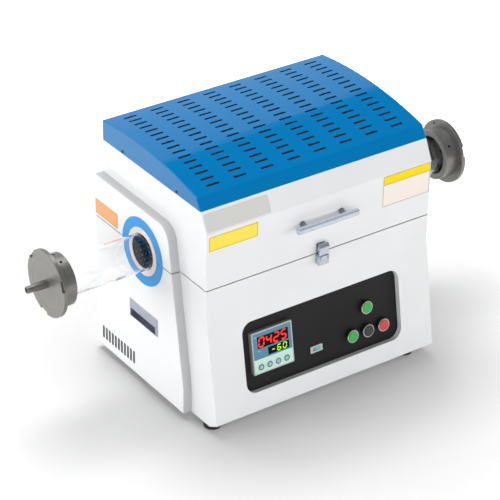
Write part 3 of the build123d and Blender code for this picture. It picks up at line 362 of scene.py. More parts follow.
@dataclass(frozen=True)
class RibbedCollar(FibreBoard):
    """Alumina ring whose bore is painted near-black as shade, with lighter ribs round and along it.

    Attributes:
        middle: the middle between both rings, on the tube's axis, in metres.
        half: half the rings' reach along the tube, in metres.
        bore_shade: painted shade of the bore, between the ribs.
        rib: colour of the ribs.
        bore_mm: radius up to which a face counts as the bore.
        rib_count: ribs round the bore.
        ring_mm: distance of the ribs along the bore.
        fade_mm: width over which the bore's colour fades in.
    """
    middle: tuple[float, float, float] = (0.0, 0.0, 0.0)
    half: float = 0.25
    # near-black painted shade of the bore
    bore_shade: str = "#1b1d1e"
    rib: str = "#848a8b"
    bore_mm: float = 42.6
    rib_count: float = 22.0
    ring_mm: float = 9.0
    fade_mm: float = 0.6

    def dress(self, coat: Coat) -> None:
        """Adds the fibres, then the bore's painted shade with its lighter ribs.

        Args:
            coat: the material under way.
        """
        super().dress(coat)
        tree = coat.tree
        board = coat.shader.inputs["Base Color"].links[0].from_socket
        away = add_node(tree, "ShaderNodeMapping", {"Vector": coat.place,
                                                    "Location": [-v for v in self.middle]})
        parts = add_node(tree, "ShaderNodeSeparateXYZ", {"Vector": away.outputs["Vector"]})
        flat = add_node(tree, "ShaderNodeCombineXYZ", {"Y": parts.outputs["Y"], "Z": parts.outputs["Z"]})
        radius = add_node(tree, "ShaderNodeVectorMath", {0: flat.outputs[0]}, operation="LENGTH")
        turn = add_node(tree, "ShaderNodeMath", {0: parts.outputs["Z"], 1: parts.outputs["Y"]},
                        operation="ARCTAN2")
        waves = []
        for value, pace in ((turn.outputs[0], self.rib_count),
                            (parts.outputs["X"], 2 * math.pi / metre(self.ring_mm))):
            step = add_node(tree, "ShaderNodeMath", {0: value, 1: pace}, operation="MULTIPLY")
            wave = add_node(tree, "ShaderNodeMath", {0: step.outputs[0]}, operation="SINE")
            waves.append(add_node(tree, "ShaderNodeMapRange", {"Value": wave.outputs[0], "From Min": -0.2,
                                                               "From Max": 0.9}).outputs["Result"])
        waffle = add_node(tree, "ShaderNodeMath", {0: waves[0], 1: waves[1]}, operation="MULTIPLY")
        # the bore's painted shade, crossed by lighter ribs
        bore = add_node(tree, "ShaderNodeMix", {"Factor": waffle.outputs[0], 6: linear(self.bore_shade),
                                                7: linear(self.rib)}, data_type="RGBA")
        along = add_node(tree, "ShaderNodeMath", {0: parts.outputs["X"]}, operation="ABSOLUTE")
        edge = self.half - metre(self.fade_mm)
        fades = [add_node(tree, "ShaderNodeMapRange", {"Value": value, "From Min": start, "From Max": end,
                                                       "To Min": 1.0, "To Max": 0.0}).outputs["Result"]
                 for value, start, end in (
                     (radius.outputs["Value"], metre(self.bore_mm), metre(self.bore_mm + self.fade_mm)),
                     (along.outputs[0], edge, edge + metre(0.4)))]
        inside = add_node(tree, "ShaderNodeMath", {0: fades[0], 1: fades[1]}, operation="MULTIPLY")
        both = add_node(tree, "ShaderNodeMix", {"Factor": inside.outputs[0], 6: board, 7: bore.outputs[2]},
                        data_type="RGBA")
        coat.feed("Base Color", both.outputs[2])


@dataclass(frozen=True)
class EdgeShadedCover(Finish):
    """Enamelled side cover: its broad face is white, and its folded edges are painted pale grey as shade.

    Attributes:
        edge: painted shade on the folded edges, as a colour.
        peel_mm: size of its orange peel.
    """
    # pale grey painted as shade on the folded edges
    edge: str = "#c3c4c6"
    peel_mm: float = 2.0

    def dress(self, coat: Coat) -> None:
        """Paints shade on the faces that don't point along X, and adds a fine orange peel.

        Args:
            coat: the material under way.
        """
        facing = add_node(coat.tree, "ShaderNodeTexCoord").outputs["Normal"]
        parts = add_node(coat.tree, "ShaderNodeSeparateXYZ", {"Vector": facing})
        size = add_node(coat.tree, "ShaderNodeMath", {0: parts.outputs["X"]}, operation="ABSOLUTE")
        # faces that don't point along X get the painted edge shade
        coat.tint(size.outputs[0], self.colour, self.edge, between=(0.97, 0.8))
        peel = add_node(coat.tree, "ShaderNodeTexNoise", {"Vector": coat.place,
                                                          "Scale": per_metre(self.peel_mm)})
        coat.relief(peel.outputs["Fac"], strength=0.3, depth_mm=0.03)


@dataclass(frozen=True)
class FusedQuartz(Finish):
    """Clear fused quartz: colourless glass with faint drawing lines along the tube.

    Attributes:
        line_mm: distance from line to line round the tube.
        line_length: a line's length as a multiple of that.
    """
    line_mm: float = 14.0
    line_length: float = 50.0

    def dress(self, coat: Coat) -> None:
        """Makes the shader clear and adds the drawing lines.

        Args:
            coat: the material under way.
        """
        coat.shader.inputs["Transmission Weight"].default_value = 1.0
        drawn = add_node(coat.tree, "ShaderNodeMapping", {"Vector": coat.place,
                                                          "Scale": (1.0 / self.line_length, 1.0, 1.0)})
        lines = add_node(coat.tree, "ShaderNodeTexNoise", {"Vector": drawn.outputs["Vector"], "Detail": 0.0,
                                                           "Scale": per_metre(self.line_mm)})
        coat.relief(lines.outputs["Fac"], strength=0.05, depth_mm=0.02)


@dataclass(frozen=True)
class LitSegment(Finish):
    """A lit segment of a light-emitting display.

    Attributes:
        glow: strength of its light.
    """
    glow: float = 1.0

    def dress(self, coat: Coat) -> None:
        """Makes the segment shine evenly.

        Args:
            coat: the material under way.
        """
        coat.shader.inputs["Emission Color"].default_value = linear(self.colour)
        coat.shader.inputs["Emission Strength"].default_value = self.glow


@dataclass(frozen=True)
class PrintedFilm(Finish):
    """Polyester label film or printed overlay: even ink with a slight sheen and fine tooth.

    Attributes:
        shade: the tooth's other colour.
        tooth_mm: size of the tooth.
    """
    shade: str = "#ffffff"
    tooth_mm: float = 2.5

    def dress(self, coat: Coat) -> None:
        """Adds a trace of unevenness to the ink.

        Args:
            coat: the material under way.
        """
        tooth = add_node(coat.tree, "ShaderNodeTexNoise", {"Vector": coat.place, "Detail": 2.0,
                                                           "Scale": per_metre(self.tooth_mm)})
        coat.tint(tooth.outputs["Fac"], self.colour, self.shade, between=(0.35, 0.65), most=0.35)


# ---------------------------------------------------------------- measures taken from the solids
@dataclass(frozen=True)
class Surface:
    """A flat face that pieces are laid on; its normal is u across v.

    Attributes:
        origin: a point on the face, in millimetres.
        u_dir: unit vector to the right, seen from outside.
        v_dir: unit vector up the face.
    """
    origin: Vector
    u_dir: Vector
    v_dir: Vector

    @property
    def normal(self) -> Vector:
        """Returns the outward normal."""
        return self.u_dir.cross(self.v_dir)

    def at(self, u: float, v: float, w: float = 0.0) -> Vector:
        """Returns the point, in metres, at (u, v) and w outside the face."""
        return (self.origin + u * self.u_dir + v * self.v_dir + w * self.normal) * MM

    def moved(self, u: float, v: float, w: float = 0.0) -> "Surface":
        """Returns the same face with its origin moved."""
        return Surface(self.origin + u * self.u_dir + v * self.v_dir + w * self.normal,
                       self.u_dir, self.v_dir)


def node_span(node: str) -> tuple[Vector, Vector]:
    """Returns a CAD node's lowest and highest corners in millimetres."""
    low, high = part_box(node)
    return low * 1000, high * 1000


@dataclass(frozen=True)
class Measures:
    """Faces and axes of the solids, on which the pieces are laid.

    Attributes:
        crease_rise: crease of the base's front above the case's underside.
        lean: lean of the lower front in degrees.
        brow_rise: foot of the lid's upper band above the case's underside.
        brow_set_back: how far that band leans back.
        panel_drop: recess below the crease, along the slope.
        panel_height: height of the recess.
        panel_recess: depth of the recess.
    """
    crease_rise: float = 263.0
    lean: float = 10.0
    brow_rise: float = 446.0
    brow_set_back: float = 21.0
    panel_drop: float = 48.0
    panel_height: float = 161.0
    panel_recess: float = 13.0

    @property
    def case_z(self) -> float:
        """Returns the height of the case's underside."""
        return node_span("base_case")[0].z

    @property
    def middle_x(self) -> float:
        """Returns the case's middle."""
        low, high = node_span("lid_case")
        return (low.x + high.x) / 2

    @property
    def front_y(self) -> float:
        """Returns the front plane of the lid."""
        return node_span("lid_case")[0].y

    @property
    def tube_axis(self) -> tuple[float, float]:
        """Returns the tube axis's y and z."""
        low, high = node_span("quartz_tube")
        return (low.y + high.y) / 2, (low.z + high.z) / 2

    def lid_front(self) -> Surface:
        """Returns the lid's upright front, from the case's left edge and underside."""
        left = node_span("lid_case")[0].x
        return Surface(Vector((left, self.front_y, self.case_z)), Vector((1, 0, 0)), Vector((0, 0, 1)))

    def brow(self) -> Surface:
        """Returns the lid's upper band, from its lower left corner."""
        left, top = node_span("lid_case")[0].x, node_span("top_cover")[0].z
        rise = top - self.case_z - self.brow_rise
        up = Vector((0, self.brow_set_back, rise)).normalized()
        return Surface(Vector((left, self.front_y, self.case_z + self.brow_rise)), Vector((1, 0, 0)), up)

    def left_cover(self) -> Surface:
        """Returns the left side cover's face; u runs to the front from the front plane."""
        face = node_span("left_lower_side_cover")[0].x
        return Surface(Vector((face, self.front_y, self.case_z)), Vector((0, -1, 0)), Vector((0, 0, 1)))

    def panel(self) -> Surface:
        """Returns the black panel's face, from the recess's middle."""
        lean = math.radians(self.lean)
        slope = Surface(Vector((self.middle_x, self.front_y, self.case_z + self.crease_rise)),
                        Vector((1, 0, 0)), Vector((0, math.sin(lean), math.cos(lean))))
        return slope.moved(0, -self.panel_drop - self.panel_height / 2, -self.panel_recess)


# ---------------------------------------------------------------- meshes
def piece(name: str, build: bmesh.types.BMesh, finish: Finish, body: str) -> bpy.types.Object:
    """Turns a bmesh into a finished piece that rides on a body.

    Args:
        name: the piece's name.
        build: its mesh, in metres, which is freed.
        finish: its surface.
        body: the CAD body that it moves with.

    Returns:
        The new object.
    """
    mesh = bpy.data.meshes.new(name)
    bmesh.ops.recalc_face_normals(build, faces=build.faces)
    build.to_mesh(mesh)
    build.free()
    made = bpy.data.objects.new(name, mesh)
    bpy.context.scene.collection.objects.link(made)
    mesh.materials.append(finish.material())
    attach(made, body)
    LOG.info("piece %s: %d faces on %s", name, len(mesh.polygons), body)
    return made


def rounded(width: float, height: float, corner: float, steps: int = 6) -> list[tuple[float, float]]:
    """Returns a rounded rectangle's outline about its middle, anticlockwise.

    Args:
        width: size along u.
        height: size along v.
        corner: corner radius; 0 gives sharp corners.
        steps: points on each corner, less one.

    Returns:
        The outline's points.
    """
    if corner <= 0:
        return [(width / 2, height / 2), (-width / 2, height / 2),
                (-width / 2, -height / 2), (width / 2, -height / 2)]
    points = []
    for turn, (sx, sy) in enumerate(((1, 1), (-1, 1), (-1, -1), (1, -1))):
        for i in range(steps + 1):
            angle = math.pi / 2 * (turn + i / steps)
            points.append((sx * (width / 2 - corner) + corner * math.cos(angle),
                           sy * (height / 2 - corner) + corner * math.sin(angle)))
    return points


def ring_points(radius: float, count: int = 32) -> list[tuple[float, float]]:
    """Returns points on a circle, anticlockwise."""
    return [(radius * math.cos(2 * math.pi * i / count), radius * math.sin(2 * math.pi * i / count))
            for i in range(count)]


def add_plate(build: bmesh.types.BMesh, face: Surface, outline: Sequence[tuple[float, float]],
              low: float, high: float) -> None:
    """Adds a flat plate to a mesh.

    Args:
        build: the mesh.
        face: the face that the plate is parallel to.
        outline: its outline in (u, v).
        low: height of its underside above the face.
        high: height of its top.
    """
    bottom = [build.verts.new(face.at(u, v, low)) for u, v in outline]
    top = [build.verts.new(face.at(u, v, high)) for u, v in outline]
    build.faces.new(top)
    build.faces.new(bottom[::-1])
    for i in range(len(outline)):
        j = (i + 1) % len(outline)
        build.faces.new((bottom[i], bottom[j], top[j], top[i]))


def add_frame(build: bmesh.types.BMesh, face: Surface, outer: Sequence[tuple[float, float]],
              inner: Sequence[tuple[float, float]], low: float, high: float) -> None:
    """Adds a flat ring between two outlines that have as many points.

    Args:
        build: the mesh.
        face: the face that the ring is parallel to.
        outer: its outer outline in (u, v).
        inner: its inner outline.
        low: height of its underside above the face.
        high: height of its top.
    """
    rows = [[build.verts.new(face.at(u, v, w)) for u, v in outline]
            for outline, w in ((outer, low), (outer, high), (inner, high), (inner, low))]
    for a in range(4):
        b = (a + 1) % 4
        for i in range(len(outer)):
            j = (i + 1) % len(outer)
            build.faces.new((rows[a][i], rows[a][j], rows[b][j], rows[b][i]))


# ---------------------------------------------------------------- repeated pieces
class Drive(Enum):
    """The recess in a screw's head."""
    HEX = 6
    CROSS = 4


def screw_shape(name: str, head_radius: float, head_height: float, drive: Drive,
                drive_radius: float, drive_depth: float) -> bpy.types.Object:
    """Builds a screw head about +Z, its seat at the origin.

    Args:
        name: name of the template object.
        head_radius: radius of the head.
        head_height: height of the head.
        drive: shape of the recess.
        drive_radius: its reach from the middle.
        drive_depth: its depth.

    Returns:
        An unlinked template object.
    """
    build = bmesh.new()
    if drive is Drive.HEX:
        mouth = [drive_radius * math.cos(math.pi / 6) / math.cos((i % 4) * math.pi / 12 - math.pi / 6)
                 for i in range(SCREW_SIDES)]
    else:       # tips of the four arms, the corners between them and the arms' flanks
        reach = {0: 1.0, 3: 0.36}
        mouth = [drive_radius * reach.get(i % 6, 0.456) for i in range(SCREW_SIDES)]
    rings = [([head_radius * share] * SCREW_SIDES, head_height * rise) for share, rise in SCREW_PROFILE]
    rings += [(mouth, head_height), (mouth, head_height - drive_depth)]
    turns = [2 * math.pi * i / SCREW_SIDES for i in range(SCREW_SIDES)]
    rows = [[build.verts.new((metre(radius * math.cos(turn)), metre(radius * math.sin(turn)), metre(height)))
             for radius, turn in zip(radii, turns)] for radii, height in rings]
    for low, high in zip(rows, rows[1:]):
        for i in range(SCREW_SIDES):
            j = (i + 1) % SCREW_SIDES
            build.faces.new((low[i], low[j], high[j], high[i]))
    build.faces.new(rows[0][::-1])
    build.faces.new(rows[-1])
    mesh = bpy.data.meshes.new(name)
    build.to_mesh(mesh)
    build.free()
    return bpy.data.objects.new(name, mesh)


def repeat_tree() -> bpy.types.NodeTree:
    """Builds the node tree that sets one shape on every point, turned to the point's facing.

    Returns:
        A geometry tree with the inputs Points, Shape, Size and Finish.
    """
    known = bpy.data.node_groups.get("set_on_points")
    if known is not None:
        return known
    tree = bpy.data.node_groups.new("set_on_points", "GeometryNodeTree")
    face = tree.interface
    face.new_socket("Points", in_out="INPUT", socket_type="NodeSocketGeometry")
    face.new_socket("Shape", in_out="INPUT", socket_type="NodeSocketObject")
    size = face.new_socket("Size", in_out="INPUT", socket_type="NodeSocketFloat")
    size.default_value = 1.0
    face.new_socket("Finish", in_out="INPUT", socket_type="NodeSocketMaterial")
    face.new_socket("Pieces", in_out="OUTPUT", socket_type="NodeSocketGeometry")
    given = add_node(tree, "NodeGroupInput")
    facing = add_node(tree, "GeometryNodeInputNamedAttribute", {"Name": "facing"}, data_type="FLOAT_VECTOR")
    turn = add_node(tree, "FunctionNodeAlignRotationToVector", {"Vector": facing.outputs["Attribute"]},
                    axis="Z")
    shape = add_node(tree, "GeometryNodeObjectInfo", {"Object": given.outputs["Shape"]})
    placed = add_node(tree, "GeometryNodeInstanceOnPoints",
                      {"Points": given.outputs["Points"], "Instance": shape.outputs["Geometry"],
                       "Rotation": turn.outputs["Rotation"], "Scale": given.outputs["Size"]})
    real = add_node(tree, "GeometryNodeRealizeInstances", {"Geometry": placed.outputs["Instances"]})
    dressed = add_node(tree, "GeometryNodeSetMaterial", {"Geometry": real.outputs["Geometry"],
                                                         "Material": given.outputs["Finish"]})
    add_node(tree, "NodeGroupOutput", {"Pieces": dressed.outputs["Geometry"]})
    return tree


def set_on_points(name: str, shape: bpy.types.Object, places: Sequence[tuple[Vector, Vector]],
                  finish: Finish, body: str) -> bpy.types.Object:
    """Repeats a template shape with Geometry Nodes and bakes the result.

    Args:
        name: the piece's name.
        shape: the template, which is removed afterwards.
        places: a point in metres and a facing for each copy.
        finish: the copies' surface.
        body: the CAD body that they move with.

    Returns:
        The baked object.
    """
    mesh = bpy.data.meshes.new(name + "_points")
    mesh.from_pydata([tuple(point) for point, _ in places], [], [])
    facing = mesh.attributes.new("facing", "FLOAT_VECTOR", "POINT")
    for i, (_, way) in enumerate(places):
        facing.data[i].vector = way
    made = bpy.data.objects.new(name, mesh)
    scene = bpy.context.scene
    scene.collection.objects.link(made)
    scene.collection.objects.link(shape)
    tree = repeat_tree()
    modifier = made.modifiers.new("repeat", "NODES")
    modifier.node_group = tree
    given = {"Shape": shape, "Size": 1.0, "Finish": finish.material()}
    for item in tree.interface.items_tree:
        if item.item_type == "SOCKET" and item.in_out == "INPUT" and item.name in given:
            modifier[item.identifier] = given[item.name]
    bpy.context.view_layer.update()
    baked = bpy.data.meshes.new_from_object(made.evaluated_get(bpy.context.evaluated_depsgraph_get()))
    made.modifiers.remove(modifier)
    made.data = baked
    bpy.data.objects.remove(shape)
    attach(made, body)
    LOG.info("piece %s: %d copies, %d faces on %s", name, len(places), len(baked.polygons), body)
    return made


# ---------------------------------------------------------------- the furnace's finishes
def case_finishes(axis: tuple[float, float]) -> dict[str, Finish]:
    """Lists the finish of each material slot of the record.

    Args:
        axis: the tube axis's y and z in millimetres.

    Returns:
        Slot name to finish.
    """
    y, z = (metre(a) for a in axis)
    ends = node_span("lower_collars")
    return {
        # smooth stove enamel over folded sheet: a clean sheen with soft reflections
        "white_enamel": Enamel("white_stove_enamel", "#eeeff0", 0.07, ior=1.58),
        # the same in bright blue: dark and saturated, with the sky's gloss on the bow
        "blue_enamel": Enamel("blue_stove_enamel", "#0275b3", 0.07, gloss=0.32, shade="#0271ae",
                              cloud_mm=220.0),
        # galvanised sheet inside the case: dull grey with rolled streaks
        "zinc_sheet": BrushedMetal("galvanised_sheet", "#a9adb0", 0.42, 1.0, shade="#8f9396"),
        # satin black enamel: even and dark, hardly any reflection
        "black_enamel": Enamel("black_satin_enamel", "#252526", 0.5, gloss=0.18, shade="#222223",
                               peel_height_mm=0.02),
        "fibre_board": FibreBoard("alumina_fibre_board", "#f1ece5", 0.95),
        # its face is chalky white; its bore is painted near-black as shade, with a waffle of small lighter ribs
        "ceramic_collar": RibbedCollar("alumina_collar_painted_bore_shade", "#f4efec", 0.9, shade="#e6dcd8", fibre_mm=2.2,
                                       middle=(metre(ends[0].x + ends[1].x) / 2, y, z),
                                       half=metre(ends[1].x - ends[0].x) / 2),
        # silicon carbide rods: charcoal, slightly sparkling
        "heating_rod": MouldedPlastic("silicon_carbide", "#3a3836", 0.6, shade="#22211f", grain_mm=1.2),
        "clear_quartz": FusedQuartz("fused_quartz", "#ffffff", 0.0, ior=1.458),
        # stainless steel, faced in a lathe and blasted: even grey, mirrors softly
        "flange_steel": TurnedSteel("turned_stainless", "#85847f", 0.34, 0.55, axis_y=y, axis_z=z,
                                    shade="#7d7c78"),
        "dark_steel": BrushedMetal("blackened_steel", "#3a3a3c", 0.45, 1.0, shade="#2a2a2c"),
        # black rubber: soft, dusty sheen
        "seal_rubber": MouldedPlastic("black_rubber", "#1d1d1e", 0.8, shade="#262627"),
        # nickel-chrome plate: bright, cool grey
        "latch_chrome": BrushedMetal("chrome_plate", "#c6cad4", 0.2, 0.6, shade="#bcc1cc"),
        "hinge_steel": BrushedMetal("zinc_plated_steel", "#a8abb0", 0.3, 1.0),
        # anodised aluminium bar: bluish satin grey
        "handle_metal": BrushedMetal("anodised_aluminium", "#c8d0db", 0.3, 0.6, shade="#bcc5d1"),
        "dark_post": BrushedMetal("dark_turned_post", "#8b8e96", 0.35, 0.4, shade="#7e8189"),
        "meter_grey": MouldedPlastic("grey_moulded_bezel", "#85837f", 0.5, shade="#7b7975"),
        "black_plastic": MouldedPlastic("black_moulded_plastic", "#1b1b1c", 0.5, shade="#232324"),
        "mint_key": MouldedPlastic("mint_rubber_key", "#a9c8d2", 0.6, shade="#9dbfca"),
        "button_green": MouldedPlastic("green_button_cap", "#35b24a", 0.35, shade="#30a945"),
        "button_black": MouldedPlastic("black_button_cap", "#333436", 0.4, shade="#2d2e30"),
        "button_red": MouldedPlastic("red_button_cap", "#cf4040", 0.35, shade="#c63a3a"),
        "bright_rim": BrushedMetal("bright_aluminium_rim", "#c9c6c2", 0.25, 1.0, shade="#bcb9b5"),
        "sheath_steel": BrushedMetal("stainless_sheath", "#9d9c99", 0.35, 1.0),
    }


def dress_solids(finishes: dict[str, Finish]) -> None:
    """Gives every CAD node the finish of its material slot; side covers, port rings and pulls have their own:
    the covers with painted shade on their edges, the rings a lighter blue as painted light.

    Args:
        finishes: slot name to finish.
    """
    # side covers: white enamel with painted shade on their folded edges
    cover = EdgeShadedCover("white_cover_enamel_painted_edge_shade", "#eeeff0", 0.12)
    # port rings: the top's blue enamel painted lighter, as painted light from the left
    ring = Enamel("blue_ring_enamel_painted_light", "#1c95e0", 0.2, gloss=0.3, shade="#1a90da", cloud_mm=80.0)
    pull = BrushedMetal("satin_chrome_pull", "#aab0bb", 0.3, 0.7, shade="#a2a8b4")
    own = {"cover": cover, "rings": ring, "handles": pull}
    for part in frame["record"]["subparts"]:
        name, finish = part["node"], finishes[part["material_slot"]]
        if name != "top_cover":
            finish = own.get(name.split("_")[-1], finish)
        slots = frame["nodes"][name].data.materials
        slots.clear()
        slots.append(finish.material())


# ---------------------------------------------------------------- sub-assemblies
@dataclass
class SlotShadeSheets:
    """Near-black sheets under the cover's slots and behind the vents, and a near-black liner round each vent,
    all painted shade.

    Distances along Y run from the lid's front plane, and heights from the case's underside.

    Attributes:
        measures: faces of the solids.
        finish: the sheets' surface, a near-black painted shade.
        field_x: length of the slots' field.
        first: distance of the field's front edge.
        last: distance of its back edge.
        gap: space between the cover and the mesh.
        sheet: thickness of the mesh.
        bow_radius: radius of the cover's bow.
        bow_y: distance of the bow's middle.
        steps: flats that make the bow.
        vent_first: distance of the front edge of the mesh behind the vents.
        vent_last: distance of its back edge.
        vent_foot: height of its lower edge.
        vent_top: height of its upper edge.
        vent_corner: its corner radius.
        cover_sheet: thickness of a side cover's sheet.
        vent_count: vents in a side cover.
        vent_pitch: distance from vent to vent.
        vent_start: distance of the first vent's middle.
        vent_size: a vent's width and height.
        liner_width: width of a vent's liner.
    """
    measures: Measures
    finish: Finish
    field_x: float = 505.0
    first: float = 52.0
    last: float = 366.0
    gap: float = 2.2
    sheet: float = 0.5
    bow_radius: float = 938.6
    bow_y: float = 258.3
    steps: int = 24
    vent_first: float = 230.0
    vent_last: float = 364.0
    vent_foot: float = 20.0
    vent_top: float = 57.0
    vent_corner: float = 3.0
    cover_sheet: float = 1.5
    vent_count: int = 11
    vent_pitch: float = 12.0
    vent_start: float = 237.0
    vent_size: tuple[float, float] = (4.0, 27.0)
    liner_width: float = 1.4

    def under_slots(self) -> None:
        """Builds the bowed sheet of painted shade under the top cover."""
        low, high = node_span("top_cover")
        radius = self.bow_radius - self.gap
        front, bow_z = self.measures.front_y, high.z - self.bow_radius
        middle = (low.x + high.x) / 2
        build = bmesh.new()
        rows = []
        for step in range(self.steps + 1):
            y = front + self.first + (self.last - self.first) * step / self.steps
            levels = [bow_z + math.sqrt((radius - drop) ** 2 - (y - front - self.bow_y) ** 2)
                      for drop in (0.0, self.sheet)]
            rows.append([build.verts.new((metre(middle + side * self.field_x / 2), metre(y), metre(z)))
                         for side in (-1, 1) for z in levels])
        for a, b in zip(rows, rows[1:]):
            for i, j in ((0, 2), (2, 3), (3, 1), (1, 0)):
                build.faces.new((a[i], a[j], b[j], b[i]))
        build.faces.new([rows[0][i] for i in (0, 1, 3, 2)])
        build.faces.new([rows[-1][i] for i in (0, 2, 3, 1)])
        piece("cover_dust_mesh", build, self.finish, "lid")

    def behind_vents(self) -> None:
        """Builds the flat sheets behind the vents and the liners in them, all painted shade."""
        width, height = self.vent_last - self.vent_first, self.vent_top - self.vent_foot
        vent_v = self.vent_foot + height / 2
        across, tall = self.vent_size
        inner = rounded(across, tall, 1.0, 2)
        outer = rounded(across + 2 * self.liner_width, tall + 2 * self.liner_width, 1.6, 2)
        mesh_top = -self.cover_sheet - 0.2
        for side, name in enumerate(("left", "right")):
            way = (-1, 1)[side]
            cover_x = node_span(f"{name}_lower_side_cover")[side].x
            face = Surface(Vector((cover_x, self.measures.front_y, self.measures.case_z)),
                           Vector((0, way, 0)), Vector((0, 0, 1)))
            build = bmesh.new()
            add_plate(build, face.moved(way * (self.vent_first + width / 2), vent_v),
                      rounded(width, height, self.vent_corner), mesh_top - self.sheet, mesh_top)
            piece(f"{name}_vent_dust_mesh", build, self.finish, "base")
            liners = bmesh.new()
            # liners of painted shade make each vent's dark opening look wider
            for index in range(self.vent_count):
                place = face.moved(way * (self.vent_start + index * self.vent_pitch), vent_v)
                add_frame(liners, place, outer, inner, -0.05, 0.25)
            piece(f"{name}_vent_liners", liners, self.finish, "base")

    def build(self) -> None:
        """Builds the sheets and the liners of painted shade."""
        self.under_slots()
        self.behind_vents()


class Band(Enum):
    """Where a plate carries a coloured band."""
    NONE = "none"
    TOP = "top"


@dataclass
class NamePlate:
    """A bare film plate with a thin printed border.

    Attributes:
        name: the piece's name.
        face: the face that it lies on.
        left: left edge, in the face's u.
        foot: lower edge, in the face's v.
        width: size along u.
        height: size along v.
        ground: finish of its field.
        line: finish of its border.
        body: the CAD body that carries it.
        corner: corner radius.
        inset: distance of the border from the edge.
        rule: width of the border.
        band: where the band is.
        band_finish: the band's finish.
        band_height: the band's height.
        slot_name: a material slot of the record; not used.
    """
    name: str
    face: Surface
    left: float
    foot: float
    width: float
    height: float
    ground: Finish
    line: Finish
    body: str
    corner: float = 2.0
    inset: float = 1.2
    rule: float = 0.9
    band: Band = Band.NONE
    band_finish: Finish | None = None
    band_height: float = 0.0
    slot_name: str = "white_enamel"

    def build(self) -> None:
        """Lays the field, the border and the band, each a little above the other."""
        middle = self.face.moved(self.left + self.width / 2, self.foot + self.height / 2)
        field_mesh = bmesh.new()
        add_plate(field_mesh, middle, rounded(self.width, self.height, self.corner), 2 * LIFT, SKIN)
        piece(self.name, field_mesh, self.ground, self.body)
        border = bmesh.new()
        reach = 2 * self.inset
        outer = rounded(self.width - reach, self.height - reach, max(self.corner - self.inset, 0.1))
        lesser = reach + 2 * self.rule
        inner = rounded(self.width - lesser, self.height - lesser,
                        max(self.corner - self.inset - self.rule, 0.1))
        add_frame(border, middle, outer, inner, INK_FOOT, INK_TOP)
        if self.band is Band.TOP:
            split = middle.moved(0, self.height / 2 - self.band_height - self.rule / 2)
            add_plate(border, split, rounded(self.width - lesser, self.rule, 0), INK_FOOT, INK_TOP)
        piece(self.name + "_border", border, self.line, self.body)
        if self.band is Band.TOP and self.band_finish is not None:
            stripe = bmesh.new()
            height = self.band_height - self.inset - self.rule
            top = middle.moved(0, self.height / 2 - self.inset - self.rule - height / 2)
            add_plate(stripe, top, rounded(self.width - lesser, height, 0), INK_FOOT, 0.8 * INK_TOP)
            piece(self.name + "_band", stripe, self.band_finish, self.body)


@dataclass
class LabelSet:
    """The bare plates on the lid and the side cover.

    Attributes:
        measures: faces of the solids.
        orange: film of the side plate.
        yellow: film of the front plate.
        cream: film of the banded plate.
        gold: its band.
        grey: film of the plate on the brow.
        ink: border of the banded plate.
        amber_ink: borders of the side and front plates.
    """
    measures: Measures
    orange: Finish = PrintedFilm("orange_label_film", "#f4b07a", 0.4, gloss=0.2, shade="#f0a269")
    yellow: Finish = PrintedFilm("yellow_label_film", "#fbe65c", 0.4, gloss=0.2, shade="#f8e04f")
    cream: Finish = PrintedFilm("cream_label_film", "#f6ece2", 0.4, gloss=0.2, shade="#f2e7db")
    gold: Finish = PrintedFilm("gold_band_ink", "#fbdf12", 0.4, gloss=0.2, shade="#f6d80c")
    grey: Finish = PrintedFilm("pale_grey_name_film", "#d3d3d0", 0.35, gloss=0.3, shade="#cdcdca")
    ink: Finish = PrintedFilm("brown_line_ink", "#6b5f55", 0.5, shade="#61564c")
    amber_ink: Finish = PrintedFilm("amber_line_ink", "#c98440", 0.5, shade="#bf7b39")

    def build(self) -> None:
        """Lays the four plates."""
        lid, brow, side = self.measures.lid_front(), self.measures.brow(), self.measures.left_cover()
        NamePlate("side_plate", side, left=-382, foot=323, width=87, height=35, ground=self.orange,
                  line=self.amber_ink, body="lid").build()
        NamePlate("front_plate", lid, left=6, foot=406, width=118, height=34, ground=self.yellow,
                  line=self.amber_ink, body="lid").build()
        NamePlate("front_band_plate", lid, left=439, foot=372, width=123.5, height=72, ground=self.cream,
                  line=self.ink, body="lid", band=Band.TOP, band_finish=self.gold, band_height=20.5,
                  inset=0.6).build()
        NamePlate("brow_plate", brow, left=3.5, foot=4, width=154, height=38, ground=self.grey,
                  line=self.grey, body="lid", corner=4.0).build()


SEGMENTS: dict[str, str] = {
    "0": "abcdef", "1": "bc", "2": "abged", "3": "abgcd", "4": "fgbc", "5": "afgcd",
    "6": "afgcde", "7": "abc", "8": "abcdefg", "9": "abcdfg", "-": "g", " ": "",
}


